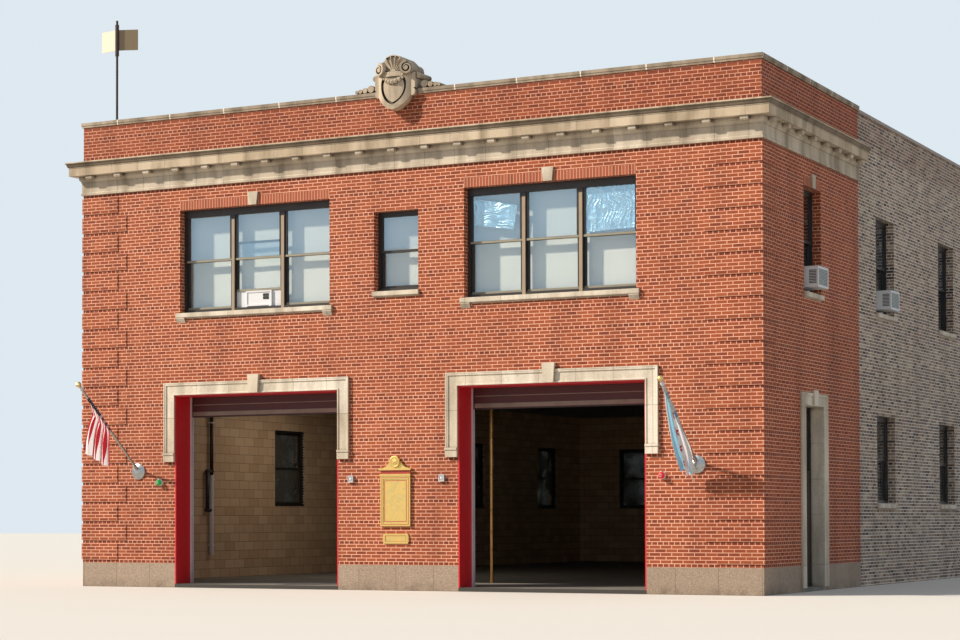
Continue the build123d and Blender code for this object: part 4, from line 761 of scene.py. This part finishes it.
# Metallised films creased against two upper panes
def window_film(name, middle, corners, lean):
    """Film taped to an upper pane, its corners given as shares (across, down) of the pane.

    Its creases run lean radians from level: long sharp folds over a soft bend, with fine wrinkles.
    """
    top_left, top_right, low_left, low_right = [Vector(corner) for corner in corners]
    pane_width = WIDE_LIGHT - 2 * SASH_FACE - 0.004
    pane_top, pane_drop = WIDE_HEAD - FRAME_FACE - SASH_FACE - 0.002, 0.928

    def stretch(s, t):
        across, down = top_left.lerp(top_right, s).lerp(low_left.lerp(low_right, s), t)
        x = middle + (across - 0.5) * pane_width
        z = pane_top - down * pane_drop
        run = (x - middle) * cos(lean) + z * sin(lean)
        cross = z * cos(lean) - (x - middle) * sin(lean)
        bend = noise.noise(Vector((run * 3.2, cross * 3.2, 0.2))) * 0.5
        fold = noise.noise(Vector((run * 15 + bend * 6, cross * 2.6 + bend, 0.7)))
        wrinkle = noise.noise(Vector((run * 42 + bend * 9, cross * 7, 1.4)))
        return Vector((x, REVEAL + 0.05 - 0.011 * (1 - 2 * abs(fold)) - 0.0022 * wrinkle, z))

    mesh = bmesh.new()
    sheet_mesh(mesh, 110, 70, stretch)
    film = piece(name, mesh, foil, smooth=True)


window_film("window_film_right", WIDE_X[1] + WIDE_PITCH,
            ((0, 0), (1, 0), (0, 0.96), (1, 0.93)), 0.25)
window_film("window_film_left", WIDE_X[1] - WIDE_PITCH,
            ((0, 0.1), (0.94, 0.3), (0.03, 0.66), (0.86, 0.8)), 1.3)

# Air conditioners: louvres in the front one, coil, grille and side slots on the side ones
COOLER_LIFT, SIDE_COOLER, COIL_HALF, COIL_EDGE, WIRES = 0.02, 0.42, 0.28, 0.03, 12
grilles, coils, darks = bmesh.new(), bmesh.new(), bmesh.new()
# The front cooler's grille squares and the side coolers' slots: dark slabs as painted shade of
# openings
for column in range(2):
    for row in range(2):
        x = WIDE_X[0] + 0.1 + column * 0.072
        z = WIDE_SILL + FRAME_FACE + COOLER_LIFT + 0.13 + row * 0.062
        rim(darks, x, x + 0.062, 0.207, 0.212, z, z + 0.054, 0.012)
        slab(darks, x, x + 0.062, 0.211, 0.2145, z, z + 0.054)
for y, sill in ((RETURN_Y, RETURN_SILL), (BAY_COOLER_Y, BAY_UPPER_SILL)):
    low = sill + FRAME_FACE + COOLER_LIFT + COIL_EDGE
    high = sill + FRAME_FACE + SIDE_COOLER - COIL_EDGE
    slab(coils, y - COIL_HALF, y + COIL_HALF, -0.204, -0.2, low, high, where=on_right)
    rim(grilles, y - COIL_HALF, y + COIL_HALF, -0.213, -0.205, low, high, 0.014, 0.002, on_right)
    for wire in range(1, WIRES):
        z = low + wire * (high - low) / WIRES
        slab(grilles, y - COIL_HALF, y + COIL_HALF, -0.211, -0.208, z - 0.0015, z + 0.0015,
             where=on_right)
    for side in (-1, 1):
        near, far = sorted((y + side * 0.31, y + side * 0.3115))
        for slot in range(9):
            z = low + 0.04 + slot * 0.03
            slab(darks, near, far, -0.18, -0.03, z, z + 0.017, where=on_right)
piece("cooler_grilles", grilles, white_enamel)
piece("cooler_coils", coils, coil_material())
piece("cooler_slots", darks, shadow_paint)


# Flags
def flag_cloth(name, foot, hoist, knees, ends, folds, phase, furl, slip, pleat, material):
    """Limp flag: the furl share of its fly is wound round the pole, and the rest falls in folds
    from the slip share of the hoist on.

    hoist is the reach of its two corners up the pole. knees and ends are where its upper and lower
    edge bend and stop: aside, out and up from the foot. pleat is the way the folds stand, with the
    length their depth.
    """
    foot, pleat, aside = Vector(foot), Vector(pleat), Vector((1, 0, 0))

    def spot(sideways, out, height):
        return Vector((sideways, -out, height))

    upper, lower = [spot(0, r * cos(POLE_SLOPE), r * sin(POLE_SLOPE) - POLE_DROP) for r in hoist]
    across = (upper - lower).normalized().cross(aside)
    axis = Vector((0, 0, POLE_DROP))
    knees = [spot(*knee) for knee in knees]
    ends = [spot(*end) for end in ends]

    def hang(s, t):
        if t < furl:
            share, wraps = t / furl, 1.6 - 0.6 * s
            turn = 2 * pi * (1 + (share - 1) * wraps) - pi / 2
            reach = 0.029 + 0.006 * share + 0.002 * sin(9 * s + 5 * share)
            ring = cos(turn) * aside + sin(turn) * across
            return upper.lerp(lower, s) + axis + reach * ring + foot
        t = (t - furl) / (1 - furl)
        start = s + slip * (1 - s) * min(1.0, t / 0.12)
        knee, end = knees[0].lerp(knees[1], s), ends[0].lerp(ends[1], s)
        point = upper.lerp(lower, start).lerp(knee, t).lerp(knee.lerp(end, t), t)
        turn = 2 * pi * (folds * s + phase + 0.1 * sin(4 * t + phase))
        deep = 0.1 + min(1.0, 1.6 * t) ** 0.7
        point += deep * sin(turn) * pleat + 0.25 * t * sin(2.3 * turn) * pleat
        point.y += 0.6 * pleat.length * deep * sin(2 * turn + 0.6)
        point.z -= 0.035 * sin(pi * s) * (1 - t) * t - 0.02 * t * sin(turn + 1.2)
        return point + foot

    cloth = bmesh.new()
    sheet_mesh(cloth, 130, 72, hang)
    flag = piece(name, cloth, material, smooth=True)
    return flag


left_flag = flag_cloth(
    "flag_left", LEFT_POLE, hoist=(2.265, 1.32), knees=((-0.03, 1.79, 0.93), (-0.02, 0.98, 0.44)),
    ends=((-0.1, 1.77, 0.38), (-0.05, 0.96, 0.05)), folds=3.4, phase=0.1, furl=0.4, slip=0.3,
    pleat=(0.034, 0, 0), material=striped_nylon)
flag_cloth(
    "flag_right", RIGHT_POLE, hoist=(2.1, 1.15), knees=((-0.29, 0.74, 0.52), (0.07, 0.24, 0.16)),
    ends=((-0.2, 0.34, -0.04), (-0.01, 0.12, -0.3)), folds=2.6, phase=0.35, furl=0.12, slip=0.0,
    pleat=(0.012, 0.03, 0.036), material=banded_nylon)
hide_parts("flags")

# Gilt balls and white trucks on the flagpoles
BALL_RADIUS = 0.057
out_along = Vector((0, -cos(POLE_SLOPE), sin(POLE_SLOPE)))
balls, trucks = bmesh.new(), bmesh.new()
for foot, length in ((LEFT_POLE, LEFT_POLE_LENGTH), (RIGHT_POLE, RIGHT_POLE_LENGTH)):
    lathe(balls, foot, out_along, [
        (BALL_RADIUS * sin(pi * i / 16) + 0.0005, length + 0.0275 - BALL_RADIUS * cos(pi * i / 16))
        for i in range(17)])
    lathe(trucks, foot, out_along, [
        (radius, length - back) for radius, back in (
            (0.027, 0.13), (0.038, 0.125), (0.038, 0.085), (0.029, 0.08), (0.029, 0.05),
            (0.036, 0.045), (0.03, 0.025))])
piece("flagpole_balls", balls, gilt, smooth=True)
piece("flagpole_trucks", trucks, white_enamel, smooth=True)

# Soil pipe with its looped vent on the left bay's wall, black above and white below
PIPE_X, PIPE_Y, LOOP_Y, PIPE_RADIUS = -INNER + 0.07, 4.22, 4.05, 0.042
LOOP_FOOT, LOOP_HEAD, GUARD_RADIUS, CLIP = 1.62, 2.5, 0.05, 0.03
pipe, guard = bmesh.new(), bmesh.new()
for y, low, high in ((PIPE_Y, 2.42, 3.93), (LOOP_Y, LOOP_FOOT, LOOP_HEAD)):
    lathe(pipe, (PIPE_X, y, low), (0, 0, 1), [(PIPE_RADIUS, 0.0), (PIPE_RADIUS, high - low)], 20)
for z in (LOOP_FOOT, LOOP_HEAD):
    lathe(pipe, (PIPE_X, LOOP_Y - PIPE_RADIUS, z), (0, 1, 0),
          [(PIPE_RADIUS, 0.0), (PIPE_RADIUS, PIPE_Y - LOOP_Y + 2 * PIPE_RADIUS)], 20)
lathe(guard, (PIPE_X, PIPE_Y, 0.59), (0, 0, 1), [(GUARD_RADIUS, 0.0), (GUARD_RADIUS, 1.83)], 20)
for z in (0.8, 2.3, 3.6):
    slab(guard, -INNER, PIPE_X + 0.052, PIPE_Y - 0.056, PIPE_Y + 0.056, z, z + CLIP, 0.004)
piece("bay_soil_pipe", pipe, black_iron, smooth=True)
piece("bay_soil_pipe_guard", guard, white_enamel)

# Signal lamps, their brackets, and the fronts of the two wall boxes
LAMPS = (("green", -5.615, 2.172, "#0fa24a"), ("red", 5.632, 2.194, "#e0262c"))
BOX_X, BOX_HALF, BOX_FOOT, BOX_MID, BOX_HEAD = (-1.004, 1.037), 0.057, 2.128, 2.195, 2.262
brackets = bmesh.new()
for name, x, z, colour in LAMPS:
    dome = bmesh.new()
    lathe(dome, (x, 0, z), (0, -1, 0), [(0.045, 0.03), (0.063, 0.032), (0.063, 0.06), (0.055, 0.09),
                                        (0.038, 0.112), (0.015, 0.122), (0.001, 0.123)])
    piece(name + "_lamp_lens", dome, lens_material(name + "_lens", colour),
          smooth=True)
    lathe(brackets, (x, 0, z), (0, -1, 0),
          [(0.072, 0.0), (0.072, 0.012), (0.066, 0.02), (0.066, 0.034)])
    slab(brackets, x - 0.014, x + 0.014, -0.075, 0.0, z + 0.06, z + 0.08, 0.004)
for x in BOX_X:
    rim(brackets, x - BOX_HALF, x + BOX_HALF, -0.056, -0.048, BOX_FOOT, BOX_HEAD, 0.014, 0.003)
    lathe(brackets, (x, -0.05, BOX_MID), (0, -1, 0),
          [(0.022, 0.0), (0.022, 0.004), (0.012, 0.007)])
piece("lamp_brackets", brackets, white_enamel)

# Plaque: enamelled band and border lines, then a rosette on the medallion, screws and end blocks
SMALL_HALF, MEDALLION_Z, LINE = 0.225, 2.526, 0.0025
lines, rosette = bmesh.new(), bmesh.new()
slab(lines, PLAQUE_MID - PLAQUE_HALF + 0.008, PLAQUE_MID + PLAQUE_HALF - 0.008, -0.0405, -0.038,
     2.284, 2.358)
for half, face, low, high, wide in ((PLAQUE_HALF - 0.085, -0.0345, 1.347, 2.161, 0.013),
                                    (PLAQUE_HALF - 0.03, -0.0465, 1.292, 2.216, 0.010),
                                    (SMALL_HALF, -0.0235, 0.962, 1.072, 0.005)):
    rim(lines, PLAQUE_MID - half, PLAQUE_MID + half, face, face + LINE, low, high, wide)
piece("plaque_red_lines", lines, lining_enamel)
lathe(rosette, (PLAQUE_MID, -0.071, MEDALLION_Z), (0, -1, 0), [
    (0.112, 0.0), (0.112, 0.006), (0.1, 0.009), (0.092, 0.003), (0.08, 0.003), (0.078, 0.007),
    (0.072, 0.007), (0.07, 0.003), (0.02, 0.003), (0.02, 0.012), (0.01, 0.016)], 48)
for petal in range(12):
    turn = 2 * pi * petal / 12
    lathe(rosette, (PLAQUE_MID + 0.045 * cos(turn), -0.0735, MEDALLION_Z + 0.045 * sin(turn)),
          (0.3 * cos(turn), -1, 0.3 * sin(turn)), [(0.012, 0.0), (0.011, 0.006), (0.004, 0.009)], 12)
for side in (-1, 1):
    for z in (1.277, 2.231):
        lathe(rosette, (PLAQUE_MID + side * (PLAQUE_HALF - 0.015), -0.045, z), (0, -1, 0),
              [(0.009, 0.0), (0.008, 0.003), (0.003, 0.005)], 12)
for side in (-1, 1):
    near, far = sorted((PLAQUE_MID + side * 0.275, PLAQUE_MID + side * 0.295))
    slab(rosette, near, far, -0.024, 0.0, 0.95, 1.084, 0.004)
piece("plaque_relief", rosette, gilt)


# Floor, sky, sun and camera

def background_rays(tree):
    """1 for the rays that show the background: from the camera, off gloss and through glass."""
    ray = put(tree, "LightPath").node.outputs
    bent = put(tree, "Math", ray["Is Glossy Ray"], ray["Is Transmission Ray"], operation="MAXIMUM")
    return put(tree, "Math", ray["Is Camera Ray"], bent, operation="MAXIMUM")


floor_paint, tree = fresh("pale_floor")
finish(tree, coat(tree, "#b3aea4", "#d9d6d0", background_rays(tree)), 0.9)
ground = bmesh.new()
slab(ground, -150, 150, -150, 150, -0.05, -0.001)
floor_data = bpy.data.meshes.new("floor")
ground.to_mesh(floor_data)
ground.free()
floor_data.materials.append(floor_paint)
floor = bpy.data.objects.new("floor", floor_data)
bpy.context.scene.collection.objects.link(floor)

world = bpy.data.worlds.new("studio")
bpy.context.scene.world = world
world.use_nodes = True
tree = world.node_tree
tree.nodes.clear()
fill = put(tree, "Background", "#e2ebf7", 0.44)
pale = put(tree, "Background", "#e3eef6", 0.95)
put(tree, "OutputWorld", put(tree, "MixShader", background_rays(tree), fill, pale))

SUN_WAY = Vector((1.6, 1.0, -1.28)).normalized()
sun = bpy.data.lights.new("key", "SUN")
sun.energy = 5.2
sun.angle = radians(2.5)
sun.color = linear("#fff3e2")[:3]
key = bpy.data.objects.new("key", sun)
key.rotation_euler = SUN_WAY.to_track_quat("-Z", "Y").to_euler()
bpy.context.scene.collection.objects.link(key)

# Soft light from the lamps over the left bay
glow = bpy.data.lights.new("bay_glow", "AREA")
glow.energy = 48
glow.size = 3.0
glow.color = linear("#fff0dc")[:3]
lit = bpy.data.objects.new("bay_glow", glow)
lit.location = (-4.6, 6.0, 4.4)
bpy.context.scene.collection.objects.link(lit)

# Camera across the street, 1.4 m above the ground
EYE = (20.875, -37.215, 1.391)
YAW, PITCH, ROLL = radians(27.07), radians(1.4085), radians(-0.1441)
level_ahead = Vector((-sin(YAW), cos(YAW), 0))
level_right = Vector((cos(YAW), sin(YAW), 0))
upright = Vector((0, 0, 1))
ahead = level_ahead * cos(PITCH) + upright * sin(PITCH)
above = upright * cos(PITCH) - level_ahead * sin(PITCH)
right = level_right * cos(ROLL) + above * sin(ROLL)
top = above * cos(ROLL) - level_right * sin(ROLL)
optics = bpy.data.cameras.new("camera")
optics.lens = 81.53
optics.sensor_width = 36.0
optics.shift_y = 0.152
optics.clip_end = 400.0
camera = bpy.data.objects.new("camera", optics)
camera.matrix_world = Matrix([(r, t, -a, e) for r, t, a, e in zip(right, top, ahead, EYE)]
                             + [(0, 0, 0, 1)])
bpy.context.scene.collection.objects.link(camera)
bpy.context.scene.camera = camera
bpy.context.scene.view_settings.view_transform = "Standard"
